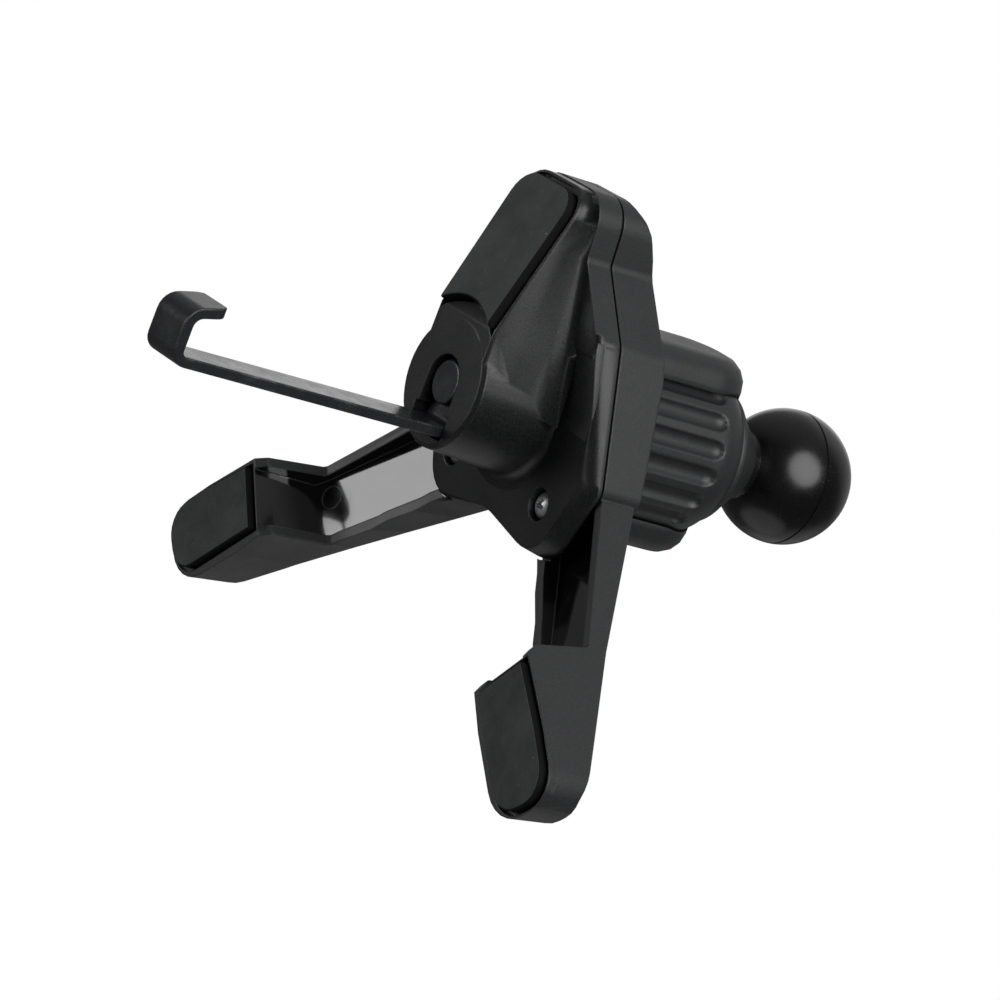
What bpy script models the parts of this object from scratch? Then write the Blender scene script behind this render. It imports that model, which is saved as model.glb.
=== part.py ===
"""Air-vent hook clip for a phone cradle, ending in a 17 mm ball.

The clip stands on a vent with a fixed finger above and two legs below. A steel hook reaches behind a blade,
and a ribbed nut on a threaded rod draws the hook back. Lengths are in millimetres until a mesh is made.
The frame: the rod lies along Y, the hook points to -Y and the ball to +Y, the finger points up along Z.
The origin is on the rod's axis, in the plane of the rims around the two leg pads.
"""
import math

import bmesh
import bpy
from mathutils import Matrix, Vector

MM = 0.001

# Fits
GAP = 0.3
PART_LINE = 0.3
ARC_STEPS = 6
TURN_STEPS = 48
SMALL_STEPS = 20

# Cover and housing, seen along the rod
TIP_HALF = 7.0
TIP_TOP = 27.4
TIP_ROUND = 4.0
WAIST_HALF = 6.9
WAIST_Z = 19.6
SHOULDER_HALF = 13.7
SHOULDER_Z = 11.7
HIP_HALF = 18.9
HIP_Z = -4.9
LOBE_HALF = 13.6
LOBE_Z = -16.0
NOTCH_Z = -13.4
NOTCH_ROUND = 8.0
LOBE_CHAMFER = 1.7

# Cover, along the rod
BOSS_FACE_Y = -1.1
BOSS_FACE_RADIUS = 7.7
BOSS_CHAMFER = 0.5
BOSS_BASE_RADIUS = 8.9
BOSS_FILLET = 1.6
BOSS_WALL = 1.6
SEAM_Y = 12.55
SEAM_TILT = math.radians(5.0)
PLATE = 2.4
UPPER_PLATE = 3.6
UPPER_PLATE_Z = 8.4
COVER_WALL = 1.8
FINGER_CREASE_Z = 8.3
FINGER_HALF = 6.6
FINGER_SLOPE = math.radians(15.85)
FINGER_EDGE = 0.35
FINGER_FLARE = 4.0

# Housing, along the rod
HOUSING_FRONT_Y = 4.0
HOUSING_BACK_Y = 18.6
FINGER_BACK_Y = 18.6
HOUSING_WALL = 1.8
BACK_SPARE = 1.6
SIDE_WALL = 1.6
TONGUE_HALF = 7.2
TONGUE_ROUND = 3.4
TONGUE_OVERHANG = 1.2

# Legs
LEG_ANGLE = math.radians(48.0)
LEG_TIP = 59.2
LEG_TIP_SKEW = 1.2
LEG_SPARE = 6.8
TIP_BACK_RISE = 1.14
LEG_OUTER = 6.8
LEG_ROOT_OUTER = 8.8
LEG_ROOT_U = 14.0
LEG_FRONT_INNER = ((6.0, -1.2), (14.0, -1.3), (21.0, -1.9), (28.0, -2.5), (36.0, -3.3), (45.0, -4.2))
LEG_BACK_INNER = ((6.0, -5.8), (14.0, -5.7), (21.0, -5.3), (28.0, -4.8), (36.0, -4.2), (45.0, -3.5))
LEG_PLANE_SLOPE = 0.27
LEG_FRONT_PLANE = 10.0
LEG_BACK_PLANE = 23.4
LEG_WALL = 1.3
LEG_FLOOR = 1.5
LEG_BACK_SLOPE = 0.325
LEG_BACK_START = 16.0
LEG_FRONT_START_Y = 13.6
LEG_KNEE_U = 37.3
LEG_KNEE_Y = 9.1
FOOT_START_U = 39.8
FOOT_RISER = 1.2
FOOT_STEP = 0.2
FOOT_LEDGE = 1.0
HOLLOW_START_U = 8.0
HOLLOW_FRONT_Y = -7.0
FOOT_INNER = -4.1
FOOT_OUTER = 7.5
FOOT_FLARE_LENGTH = 10.0
FOOT_FLARE_U = FOOT_START_U + FOOT_FLARE_LENGTH
FOOT_OUTER_ROUND = 4.5
FOOT_INNER_ROUND = 5.8
FOOT_BACK_INNER = -3.0
FOOT_BACK_TIP = 0.8

# Pads
PAD_THICKNESS = 1.2
PAD_PROUD = 0.8
PAD_GAP = 0.35
FINGER_PAD_PROUD = 1.0
FINGER_PAD_RIM = 0.45
FOOT_RIM_OUTER = 0.4
FOOT_RIM_INNER = 1.3
FOOT_RIM_TIP = 0.6
PAD_INNER_RADIUS = 10.1

# Hook, rod and rivet
HOOK_WIDTH = 7.0
HOOK_THICKNESS = 1.3
HOOK_TOP_Z = -4.8
HOOK_REACH = 38.2
HOOK_HEIGHT = 8.0
HOOK_LIP = 5.2
HOOK_BEND = 1.6
HOOK_TOP_BEND = 2.6
HOOK_LIP_RISE = math.radians(12.0)
HOOK_CORNER = 1.3
HOOK_TAB_TOP = 3.0
ROD_RADIUS = 2.9
ROD_LENGTH = 45.4
RIVET_HEAD_RADIUS = 2.8
RIVET_HEAD = 1.2
RIVET_SHANK_RADIUS = 1.3
RIVET_SHANK = 5.0
RIVET_RECESS = 0.4
KEYHOLE_RADIUS = 3.3
SLOT_TOP_Z = -3.5

# Nut, washer and ball
WASHER_THICKNESS = 0.6
WASHER_RADIUS = 8.0
NUT_RADIUS = 11.0
TONGUE_WALL = 1.7
TONGUE_TOP = NUT_RADIUS + TONGUE_WALL
NUT_LENGTH = 18.0
NUT_DOME = 4.3
NUT_REAR_RADIUS = 8.85
NUT_RIBS = 20
NUT_FLUTE_RADIUS = 1.15
NUT_FLUTE_DEPTH = 0.7
NUT_FLUTE_TURN = 0.77
NUT_FLUTE_BACK = 0.5
HEX_FLATS = 10.0
HEX_THICKNESS = 5.0
BALL_RADIUS = 8.5
BALL_REACH = 13.7
NECK_RADIUS = 4.4
COLLAR_RADIUS = 8.6
COLLAR_LENGTH = 3.0
COLLAR_END_RADIUS = 7.0
BALL_SOCKET_END = 6.0

# Screws
SCREW_X = 10.3
SCREW_Z = -9.4
FINGER_SCREW_Z = 20.0
SCREW_HEAD_RADIUS = 1.75
SCREW_HEAD = 0.8
SCREW_SHANK_RADIUS = 0.9
SCREW_LENGTH = 4.0
SCREW_SEAT = 0.7
SCREW_HOLE_SPARE = 6.0
SCREW_COLUMN_WALL = 1.2

NUT_FRONT_Y = HOUSING_BACK_Y + WASHER_THICKNESS + 2 * GAP
NUT_REAR_Y = NUT_FRONT_Y + NUT_LENGTH
COLLAR_Y = NUT_REAR_Y + GAP
BALL_Y = COLLAR_Y + BALL_REACH
TAB_FRONT_Y = BOSS_FACE_Y + BOSS_WALL + GAP
ROD_FRONT_Y = TAB_FRONT_Y + HOOK_THICKNESS + GAP
HOLE_CLEARANCE = ROD_RADIUS + GAP
FAR = 60.0


def seam_y(z):
    """Y of the plane between cover and housing at height z."""
    return SEAM_Y - math.tan(SEAM_TILT) * z


def finger_y(z):
    """Y of the front of the finger at height z: level beside the boss, then sloping back."""
    return BOSS_FACE_Y + 0.05 + math.tan(FINGER_SLOPE) * max(0.0, z - FINGER_CREASE_Z)


def flank_y(z, share):
    """Y at height z on the finger's flank: share 0 is its front edge, share 1 the plate behind it."""
    edge = finger_y(z) + FINGER_EDGE
    return edge + share * (seam_y(z) - UPPER_PLATE - edge)


def back_y(u):
    """Y of a leg's back at distance u from the rod."""
    return HOUSING_BACK_Y - LEG_BACK_SLOPE * max(0.0, u - LEG_BACK_START)


# Scene and collections
for old in list(bpy.data.objects):
    bpy.data.objects.remove(old, do_unlink=True)

parts = bpy.data.collections.new("vent_hook_clip")
cutters = bpy.data.collections.new("cutters")
bpy.context.scene.collection.children.link(parts)
bpy.context.scene.collection.children.link(cutters)


def material(name, colour, roughness, metallic=0.0):
    """A plain Principled material."""
    made = bpy.data.materials.new(name)
    made.use_nodes = True
    shader = made.node_tree.nodes["Principled BSDF"]
    shader.inputs["Base Color"].default_value = (*colour, 1.0)
    shader.inputs["Roughness"].default_value = roughness
    shader.inputs["Metallic"].default_value = metallic
    return made


MATT_PLASTIC = material("matt_black_plastic", (0.012, 0.012, 0.013), 0.5)
GLOSSY_PLASTIC = material("glossy_black_plastic", (0.008, 0.008, 0.009), 0.22)
RUBBER = material("black_rubber", (0.010, 0.010, 0.011), 0.75)
COATED_STEEL = material("black_coated_steel", (0.015, 0.015, 0.016), 0.35, 0.3)
ZINC_STEEL = material("zinc_plated_steel", (0.55, 0.55, 0.56), 0.4, 1.0)


# Meshes
def finished(bm, name, paint=None, cutter=False):
    """Turn a millimetre bmesh into an object in metres."""
    bmesh.ops.recalc_face_normals(bm, faces=bm.faces)
    bmesh.ops.scale(bm, vec=(MM, MM, MM), verts=bm.verts)
    mesh = bpy.data.meshes.new(name)
    bm.to_mesh(mesh)
    bm.free()
    mesh.shade_smooth()
    mesh.set_sharp_from_angle(angle=math.radians(35))
    made = bpy.data.objects.new(name, mesh)
    if cutter:
        cutters.objects.link(made)
        made.hide_render = True
        made.display_type = "WIRE"
    else:
        parts.objects.link(made)
    if paint:
        mesh.materials.append(paint)
    return made


def boolean(target, tool, operation):
    """Cut, join or intersect a target with a tool that stays hidden."""
    step = target.modifiers.new(tool.name, "BOOLEAN")
    step.operation = operation
    step.object = tool
    step.solver = "EXACT"


def rounded(corners, steps=ARC_STEPS):
    """Points of a closed outline whose corners (a, b, radius) are rounded by arcs."""
    points = []
    count = len(corners)
    for index, (a, b, radius) in enumerate(corners):
        here = Vector((a, b))
        before = Vector(corners[index - 1][:2]) - here
        after = Vector(corners[(index + 1) % count][:2]) - here
        if radius <= 0.0:
            points.append((a, b))
            continue
        half = before.angle(after) / 2
        cut = min(radius / math.tan(half), 0.49 * before.length, 0.49 * after.length)
        real = cut * math.tan(half)
        centre = here + (before.normalized() + after.normalized()).normalized() * (real / math.sin(half))
        start = here + before.normalized() * cut - centre
        end = here + after.normalized() * cut - centre
        turn = start.angle_signed(end)
        for step in range(steps + 1):
            swing = Matrix.Rotation(-turn * step / steps, 2)
            points.append(tuple(centre + swing @ start))
    return points


def mirrored(half):
    """A whole outline from corners given for x above zero, top to bottom."""
    left = [(-x, z, radius) for x, z, radius in reversed(half) if x > 0.0]
    return list(half) + left


def grown(points, distance):
    """The outline moved outwards by a distance, or inwards if it is negative."""
    moved = []
    count = len(points)
    area = sum(points[i - 1][0] * points[i][1] - points[i][0] * points[i - 1][1] for i in range(count))
    side = 1.0 if area > 0 else -1.0
    for index, point in enumerate(points):
        before = (Vector(point) - Vector(points[index - 1])).normalized()
        after = (Vector(points[(index + 1) % count]) - Vector(point)).normalized()
        normals = Vector((before.y, -before.x)) + Vector((after.y, -after.x))
        length = max(normals.length, 0.5)
        out = normals / length * (2.0 / length) * side
        moved.append((point[0] + out.x * distance, point[1] + out.y * distance))
    return moved


def loft(name, rings, paint=None, cutter=False, creases=()):
    """A solid through rings of points (x, y, z) that all have the same count."""
    bm = bmesh.new()
    layers = [[bm.verts.new(point) for point in ring] for ring in rings]
    count = len(rings[0])
    for lower, upper in zip(layers, layers[1:]):
        for index in range(count):
            after = (index + 1) % count
            bm.faces.new((lower[index], lower[after], upper[after], upper[index]))
    bm.faces.new(layers[-1])
    front = bm.faces.new(list(reversed(layers[0])))
    for first, second in creases:
        bmesh.utils.face_split(front, layers[0][first], layers[0][second])
    return finished(bm, name, paint, cutter)


def along_y(outline, level):
    """A ring of an (x, z) outline whose y is a number or a function of z."""
    return [(x, level(z) if callable(level) else level, z) for x, z in outline]


def flat_solid(name, outline, low, high, turn, paint=None, cutter=False):
    """A flat outline given thickness between two levels of its own third axis, then turned into place."""
    curve = bpy.data.curves.new(name, "CURVE")
    curve.dimensions = "2D"
    curve.fill_mode = "BOTH"
    curve.extrude = (high - low) / 2 * MM
    spline = curve.splines.new("POLY")
    spline.points.add(len(outline) - 1)
    for point, (a, b) in zip(spline.points, outline):
        point.co = (a * MM, b * MM, 0.0, 1.0)
    spline.use_cyclic_u = True
    drawn = bpy.data.objects.new(name + "_outline", curve)
    mesh = bpy.data.meshes.new_from_object(drawn)
    bpy.data.objects.remove(drawn, do_unlink=True)
    bm = bmesh.new()
    bm.from_mesh(mesh)
    bpy.data.meshes.remove(mesh)
    bmesh.ops.remove_doubles(bm, verts=bm.verts, dist=0.000002)
    bmesh.ops.dissolve_limit(bm, angle_limit=0.001, verts=bm.verts, edges=bm.edges)
    bmesh.ops.scale(bm, vec=(1 / MM, 1 / MM, 1 / MM), verts=bm.verts)
    bmesh.ops.translate(bm, vec=(0.0, 0.0, (low + high) / 2), verts=bm.verts)
    made = finished(bm, name, paint, cutter)
    made.rotation_euler = turn
    return made


ALONG_Y = (-math.pi / 2, 0.0, 0.0)
ALONG_X = (math.pi / 2, 0.0, math.pi / 2)
ALONG_Z = (0.0, 0.0, 0.0)


def prism(name, outline, front, back, paint=None, cutter=False):
    """An (x, z) outline carried along Y between two levels."""
    return flat_solid(name, [(x, -z) for x, z in outline], front, back, ALONG_Y, paint, cutter)


def side_prism(name, outline, half, cutter=False):
    """A (z, y) outline carried along X to both sides."""
    return flat_solid(name, [(y, z) for z, y in outline], -half, half, ALONG_X, cutter=cutter)


def under(made, parent):
    """Place a piece in the frame of an empty."""
    made.parent = parent
    return made


def turned(name, profile, paint=None, cutter=False, x=0.0, z=0.0, steps=TURN_STEPS):
    """A solid turned about a line along Y; the profile holds (radius, y) from back to front."""
    bm = bmesh.new()
    closed = profile[0] == profile[-1]
    points = [bm.verts.new((radius, 0.0, y)) for radius, y in (profile[:-1] if closed else profile)]
    for first, second in zip(points, points[1:]):
        bm.edges.new((first, second))
    if closed:
        bm.edges.new((points[-1], points[0]))
    bmesh.ops.scale(bm, vec=(MM, MM, MM), verts=bm.verts)
    mesh = bpy.data.meshes.new(name)
    bm.to_mesh(mesh)
    bm.free()
    made = bpy.data.objects.new(name, mesh)
    (cutters if cutter else parts).objects.link(made)
    screw = made.modifiers.new("turn", "SCREW")
    screw.axis = "Z"
    screw.steps = steps
    screw.render_steps = steps
    screw.use_merge_vertices = True
    screw.merge_threshold = 0.00001
    screw.use_smooth_shade = True
    made.rotation_euler = (-math.pi / 2, 0.0, 0.0)
    made.location = (x * MM, 0.0, z * MM)
    if cutter:
        made.hide_render = True
        made.display_type = "WIRE"
    if paint:
        mesh.materials.append(paint)
    return made


def ring_profile(inner, outer, front, back):
    """Profile of a plain ring, or of a disc where the inner radius is zero."""
    profile = [(inner, back), (outer, back), (outer, front), (inner, front)]
    if inner > 0.0:
        profile.append((inner, back))
    return profile


def arc_profile(centre_r, centre_y, radius, start, end, steps=ARC_STEPS):
    """Points (radius, y) on an arc; angles in degrees, zero outwards and 90 to the back."""
    angles = [math.radians(start + (end - start) * step / steps) for step in range(steps + 1)]
    return [(centre_r + radius * math.cos(a), centre_y + radius * math.sin(a)) for a in angles]


# Outlines shared by the cover and the housing
rim_half = [
    (TIP_HALF, TIP_TOP, TIP_ROUND),
    (WAIST_HALF, WAIST_Z, 1.5),
    (SHOULDER_HALF, SHOULDER_Z, 3.0),
    (HIP_HALF, HIP_Z, 2.5),
    (LOBE_HALF, LOBE_Z, 5.0),
    (0.0, NOTCH_Z, NOTCH_ROUND),
]
face_half = rim_half[:3] + [
    (HIP_HALF - LOBE_CHAMFER, HIP_Z + 0.3, 2.5),
    (LOBE_HALF - LOBE_CHAMFER * 0.8, LOBE_Z + 0.3, 5.0),
    (0.0, NOTCH_Z + 0.1, NOTCH_ROUND),
]
rim_outline = rounded(mirrored(rim_half))
face_outline = rounded(mirrored(face_half))


# Front cover
def finger_outline(spread, inset):
    """The finger's outline, wider beside the boss by spread and smaller all round by inset."""
    half = [
        (TIP_HALF - 0.05 - inset, TIP_TOP - 0.15 - inset, TIP_ROUND - inset),
        (WAIST_HALF - 0.15 - inset, WAIST_Z, 0.0),
        (FINGER_HALF + spread - inset, FINGER_CREASE_Z, 0.0),
        (FINGER_HALF + spread - inset, 0.0, 0.0),
    ]
    return rounded(mirrored(half))


def make_front_cover():
    cover = loft("front_cover", [
        along_y(face_outline, lambda z: seam_y(z) - PLATE),
        along_y(rim_outline, lambda z: seam_y(z) - PLATE * 0.25),
        along_y(rim_outline, lambda z: seam_y(z) - PART_LINE / 2),
    ], MATT_PLASTIC)

    side = SHOULDER_HALF + 0.25
    ramp = UPPER_PLATE - PLATE
    upper = rim_half[:3] + [(side, UPPER_PLATE_Z, 0.0)]
    raised = rim_half[:3] + [(side, UPPER_PLATE_Z + ramp, 0.0)]
    thicker = loft("upper_plate", [
        along_y(rounded(mirrored(raised)), lambda z: seam_y(z) - UPPER_PLATE),
        along_y(rounded(mirrored(upper)), lambda z: seam_y(z) - PLATE + 0.4),
    ], cutter=True)
    boolean(cover, thicker, "UNION")

    rings = [
        along_y(finger_outline(0.0, FINGER_EDGE), finger_y),
        along_y(finger_outline(0.0, 0.0), lambda z: flank_y(z, 0.0)),
    ]
    for depth, spread in ((0.35, 0.3), (0.75, 0.45), (0.92, 0.65), (1.04, 1.0)):
        flared = finger_outline(FINGER_FLARE * spread, 0.0)
        rings.append(along_y(flared, lambda z, share=depth: flank_y(z, share)))
    tip_points = ARC_STEPS + 1
    left_crease = tip_points + 4
    finger = loft("finger_block", rings, cutter=True, creases=((tip_points + 1, left_crease),))
    boolean(cover, finger, "UNION")

    boss_floor = seam_y(0.0) - PLATE
    profile = [(0.0, SEAM_Y - PLATE / 2), (BOSS_BASE_RADIUS + BOSS_FILLET, SEAM_Y - PLATE / 2)]
    profile.append((BOSS_BASE_RADIUS + BOSS_FILLET, boss_floor + 0.75))
    profile += [(r, y) for r, y in reversed(arc_profile(
        BOSS_BASE_RADIUS + BOSS_FILLET, boss_floor + 0.75 - BOSS_FILLET, BOSS_FILLET, 180, 90))][1:]
    profile += [
        (BOSS_FACE_RADIUS + BOSS_CHAMFER, BOSS_FACE_Y + BOSS_CHAMFER),
        (BOSS_FACE_RADIUS, BOSS_FACE_Y),
        (0.0, BOSS_FACE_Y),
    ]
    boss = turned("boss_cone", profile, cutter=True)
    boolean(cover, boss, "UNION")

    inner_front = BOSS_FACE_Y + BOSS_WALL
    hollow = turned("boss_hollow", [
        (0.0, SEAM_Y + 2.0),
        (BOSS_BASE_RADIUS - BOSS_WALL, SEAM_Y + 2.0),
        (BOSS_BASE_RADIUS - BOSS_WALL, boss_floor),
        (BOSS_FACE_RADIUS - BOSS_WALL, inner_front),
        (0.0, inner_front),
    ], cutter=True)
    boolean(cover, hollow, "DIFFERENCE")

    half_slot = HOOK_WIDTH / 2 + GAP + 0.1
    slot_bottom = HOOK_TOP_Z - HOOK_THICKNESS - GAP - 0.1
    keyhole = rounded([
        (KEYHOLE_RADIUS, KEYHOLE_RADIUS, KEYHOLE_RADIUS * 0.98),
        (KEYHOLE_RADIUS, SLOT_TOP_Z, 0.0),
        (half_slot, SLOT_TOP_Z, 0.0),
        (half_slot, slot_bottom, 0.4),
        (-half_slot, slot_bottom, 0.4),
        (-half_slot, SLOT_TOP_Z, 0.0),
        (-KEYHOLE_RADIUS, SLOT_TOP_Z, 0.0),
        (-KEYHOLE_RADIUS, KEYHOLE_RADIUS, KEYHOLE_RADIUS * 0.98),
    ])
    slot = prism("keyhole_slot", keyhole, BOSS_FACE_Y - 2.0, SEAM_Y + 2.0, cutter=True)
    boolean(cover, slot, "DIFFERENCE")

    inset = COVER_WALL
    hollow_rings = [
        along_y(grown(finger_outline(0.0, 0.0), -inset), lambda z: finger_y(z) + PAD_THICKNESS + inset + 0.4),
        along_y(grown(finger_outline(0.0, 0.0), -inset), lambda z: seam_y(z) + 2.0),
    ]
    finger_hollow = loft("finger_hollow", hollow_rings, cutter=True, creases=((tip_points + 1, left_crease),))
    keep_top = FINGER_CREASE_Z + 1.5
    keep = prism("boss_keep", [(-FAR, -FAR), (FAR, -FAR), (FAR, keep_top), (-FAR, keep_top)], -FAR, FAR, cutter=True)
    boolean(finger_hollow, keep, "DIFFERENCE")
    boolean(cover, finger_hollow, "DIFFERENCE")

    column_radius = SCREW_HEAD_RADIUS + GAP + SCREW_COLUMN_WALL - 0.4
    column_front = finger_y(FINGER_SCREW_Z) + PAD_THICKNESS + 1.0
    column = turned("finger_screw_column", ring_profile(
        0.0, column_radius, column_front, seam_y(FINGER_SCREW_Z) - PART_LINE / 2 - 0.3),
                    cutter=True, z=FINGER_SCREW_Z, steps=SMALL_STEPS)
    boolean(cover, column, "UNION")

    recess = pad_prism("finger_recess", PAD_GAP, -2.0, PAD_THICKNESS, cutter=True)
    boolean(cover, recess, "DIFFERENCE")

    for x, z in screw_places():
        seat = seam_y(z) - SCREW_SEAT
        hole = turned("cover_screw_hole", [
            (0.0, SEAM_Y + SCREW_HOLE_SPARE),
            (SCREW_SHANK_RADIUS + GAP, SEAM_Y + SCREW_HOLE_SPARE),
            (SCREW_SHANK_RADIUS + GAP, seat),
            (SCREW_HEAD_RADIUS + GAP, seat),
            (SCREW_HEAD_RADIUS + GAP, seat - SCREW_HOLE_SPARE),
            (0.0, seat - SCREW_HOLE_SPARE),
        ], cutter=True, x=x, z=z, steps=SMALL_STEPS)
        boolean(cover, hole, "DIFFERENCE")
    return cover


def screw_places():
    """The (x, z) places of the two lobe screws and the finger screw."""
    return ((-SCREW_X, SCREW_Z), (SCREW_X, SCREW_Z), (0.0, FINGER_SCREW_Z))


# Pads
def pad_prism(name, extra, front, back, paint=None, cutter=False):
    """The finger pad's outline, grown by extra, in the sloping plane of the finger's front."""
    inset = FINGER_PAD_RIM + PAD_GAP - extra
    top_half = TIP_HALF - inset
    half = FINGER_HALF - inset
    inner = PAD_INNER_RADIUS - extra
    low = math.sqrt(inner ** 2 - half ** 2)
    steps = 2 * ARC_STEPS
    side = math.acos(low / inner)
    arc = [(inner * math.sin(a), inner * math.cos(a))
           for a in [-side + 2 * side * step / steps for step in range(1, steps)]]
    corners = [
        (top_half, TIP_TOP - inset, TIP_ROUND - inset),
        (half, low, 0.0),
        (-half, low, 0.0),
        (-top_half, TIP_TOP - inset, TIP_ROUND - inset),
    ]
    outline = rounded(corners)
    place = outline.index((-half, low))
    outline[place:place] = list(reversed(arc))
    stretch = 1.0 / math.cos(FINGER_SLOPE)
    flat = [(x, (z - FINGER_CREASE_Z) * stretch) for x, z in outline]
    made = prism(name, flat, front, back, paint, cutter)
    made.rotation_euler = (-math.pi / 2 - FINGER_SLOPE, 0.0, 0.0)
    made.location = (0.0, finger_y(FINGER_CREASE_Z) * MM, FINGER_CREASE_Z * MM)
    return made


def foot_outline(side, gap):
    """The pad's room in a foot, made smaller by gap, in the leg's own frame: x across, z towards the rod."""
    outer = side * (FOOT_OUTER - FOOT_RIM_OUTER - gap)
    start = side * (LEG_OUTER - FOOT_RIM_OUTER - gap)
    inner = side * (FOOT_INNER + FOOT_RIM_INNER + gap)
    tip = LEG_TIP - FOOT_RIM_TIP - gap
    corners = [
        (start, -FOOT_START_U - FOOT_RIM_OUTER - gap, 0.0),
        (outer, -FOOT_FLARE_U, 0.0),
        (outer, -tip, FOOT_OUTER_ROUND - gap),
        (inner, -tip + LEG_TIP_SKEW, FOOT_INNER_ROUND - FOOT_RIM_INNER - gap),
        (inner, -FOOT_START_U - FOOT_RIM_OUTER - gap, 0.0),
    ]
    return rounded(corners)


def leg_frame(side):
    """An empty on the rod's axis, turned to where the leg points."""
    name = ("right" if side > 0 else "left") + "_leg_frame"
    if name in bpy.data.objects:
        return bpy.data.objects[name]
    frame = bpy.data.objects.new(name, None)
    parts.objects.link(frame)
    frame.empty_display_size = 0.01
    frame.rotation_euler = (0.0, -side * LEG_ANGLE, 0.0)
    return frame


def foot_pad(name, side, gap, front, back, paint=None, cutter=False):
    """A flat piece that fills the pad's room in a foot, smaller all round by gap."""
    return under(prism(name, foot_outline(side, gap), front, back, paint, cutter), leg_frame(side))


# Rear housing
def leg_plane(level):
    """Y at local height z on one of the two slanting planes between which a leg is drawn."""
    return lambda z: level + LEG_PLANE_SLOPE * z


def leg_plan(side, inset):
    """Outlines of a leg on its front and back planes; the inner wall leans a little between them."""
    plans = []
    for inner_line, outer, inner, short in (
            (LEG_FRONT_INNER, FOOT_OUTER, FOOT_INNER, 0.0),
            (LEG_BACK_INNER, LEG_OUTER, FOOT_BACK_INNER, FOOT_BACK_TIP)):
        tip = LEG_TIP - short - inset
        corners = [
            (side * (LEG_ROOT_OUTER - inset), -6.0, 0.0),
            (side * (LEG_ROOT_OUTER - inset), -LEG_ROOT_U, 0.0),
            (side * (LEG_OUTER - inset), -LEG_KNEE_U, 0.0),
            (side * (outer - inset), -FOOT_FLARE_U, 0.0),
            (side * (outer - inset), -tip, FOOT_OUTER_ROUND - inset),
            (side * (inner + inset), -tip + LEG_TIP_SKEW, FOOT_INNER_ROUND - inset),
        ]
        corners += [(side * (v + inset), -u, 0.0) for u, v in reversed(inner_line)]
        plans.append(rounded(corners))
    return plans


def make_leg(side):
    """One leg: a channel that rises at its end into a foot."""
    label = "right" if side > 0 else "left"
    front, back = leg_plan(side, 0.0)
    leg = loft(label + "_leg", [
        along_y(front, leg_plane(LEG_FRONT_PLANE)),
        along_y(back, leg_plane(LEG_BACK_PLANE)),
    ], cutter=True)
    under(leg, leg_frame(side))
    corners = [
        (-6.0, LEG_FRONT_START_Y + 1.0, 0.0),
        (-LEG_ROOT_U - 2.0, LEG_FRONT_START_Y, 0.0),
        (-LEG_KNEE_U, LEG_KNEE_Y, 0.8),
        (-FOOT_START_U + FOOT_RISER, FOOT_RISER, 0.8),
        (-FOOT_START_U, 0.0, 0.0),
        (-LEG_TIP - LEG_SPARE, 0.0, 0.0),
        (-LEG_TIP - LEG_SPARE, back_y(LEG_TIP) + TIP_BACK_RISE, 0.0),
        (-LEG_TIP + 2.0, back_y(LEG_TIP - 2.0), 0.0),
        (-LEG_BACK_START + BACK_SPARE / LEG_BACK_SLOPE, HOUSING_BACK_Y + BACK_SPARE, 0.0),
        (-6.0, HOUSING_BACK_Y + BACK_SPARE, 0.0),
    ]
    side_view = side_prism(label + "_leg_side", rounded(corners), FAR / 2, cutter=True)
    under(side_view, leg_frame(side))
    boolean(leg, side_view, "INTERSECT")
    return leg


def make_leg_hollow(side):
    """The channel of a leg, which ends at the foot's upright inner wall."""
    label = "right" if side > 0 else "left"
    front, back = leg_plan(side, LEG_WALL)
    hollow = loft(label + "_leg_hollow", [
        along_y(front, leg_plane(LEG_FRONT_PLANE - 1.0)),
        along_y(back, leg_plane(LEG_BACK_PLANE + 1.0)),
    ], cutter=True)
    under(hollow, leg_frame(side))
    outline = [
        (-HOLLOW_START_U, HOLLOW_FRONT_Y),
        (-FOOT_START_U - FOOT_STEP, HOLLOW_FRONT_Y),
        (-FOOT_START_U - FOOT_STEP, back_y(FOOT_START_U) - LEG_FLOOR),
        (-LEG_BACK_START, HOUSING_BACK_Y - HOUSING_WALL),
        (-HOLLOW_START_U, HOUSING_BACK_Y - HOUSING_WALL),
    ]
    side_view = under(side_prism(label + "_hollow_side", outline, FAR / 2, cutter=True), leg_frame(side))
    boolean(hollow, side_view, "INTERSECT")
    return hollow


def make_foot_core(side):
    """The hollow behind a pad, with a ledge around it that carries the pad."""
    label = "right" if side > 0 else "left"
    outline = foot_outline(side, FOOT_LEDGE)
    core = loft(label + "_foot_core", [
        along_y(outline, PAD_THICKNESS - GAP),
        along_y(outline, lambda z: back_y(-z) - LEG_FLOOR),
    ], cutter=True)
    return under(core, leg_frame(side))


def finger_back(depth):
    """The (z, y) outline of what is cut from the finger's back, moved forward by depth."""
    line = [
        (9.0, FINGER_BACK_Y),
        (14.6, 17.7),
        (19.6, 17.1),
        (21.8, 16.2),
        (24.5, 14.8),
        (25.8, 13.8),
        (27.6, 11.6),
        (31.0, 11.0),
    ]
    shift = HOUSING_BACK_Y - FINGER_BACK_Y
    points = [(z, y + shift - depth + (0.01 if index == 0 else 0.0)) for index, (z, y) in enumerate(line)]
    return points + [(31.0, FAR), (9.0, FAR)]


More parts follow.
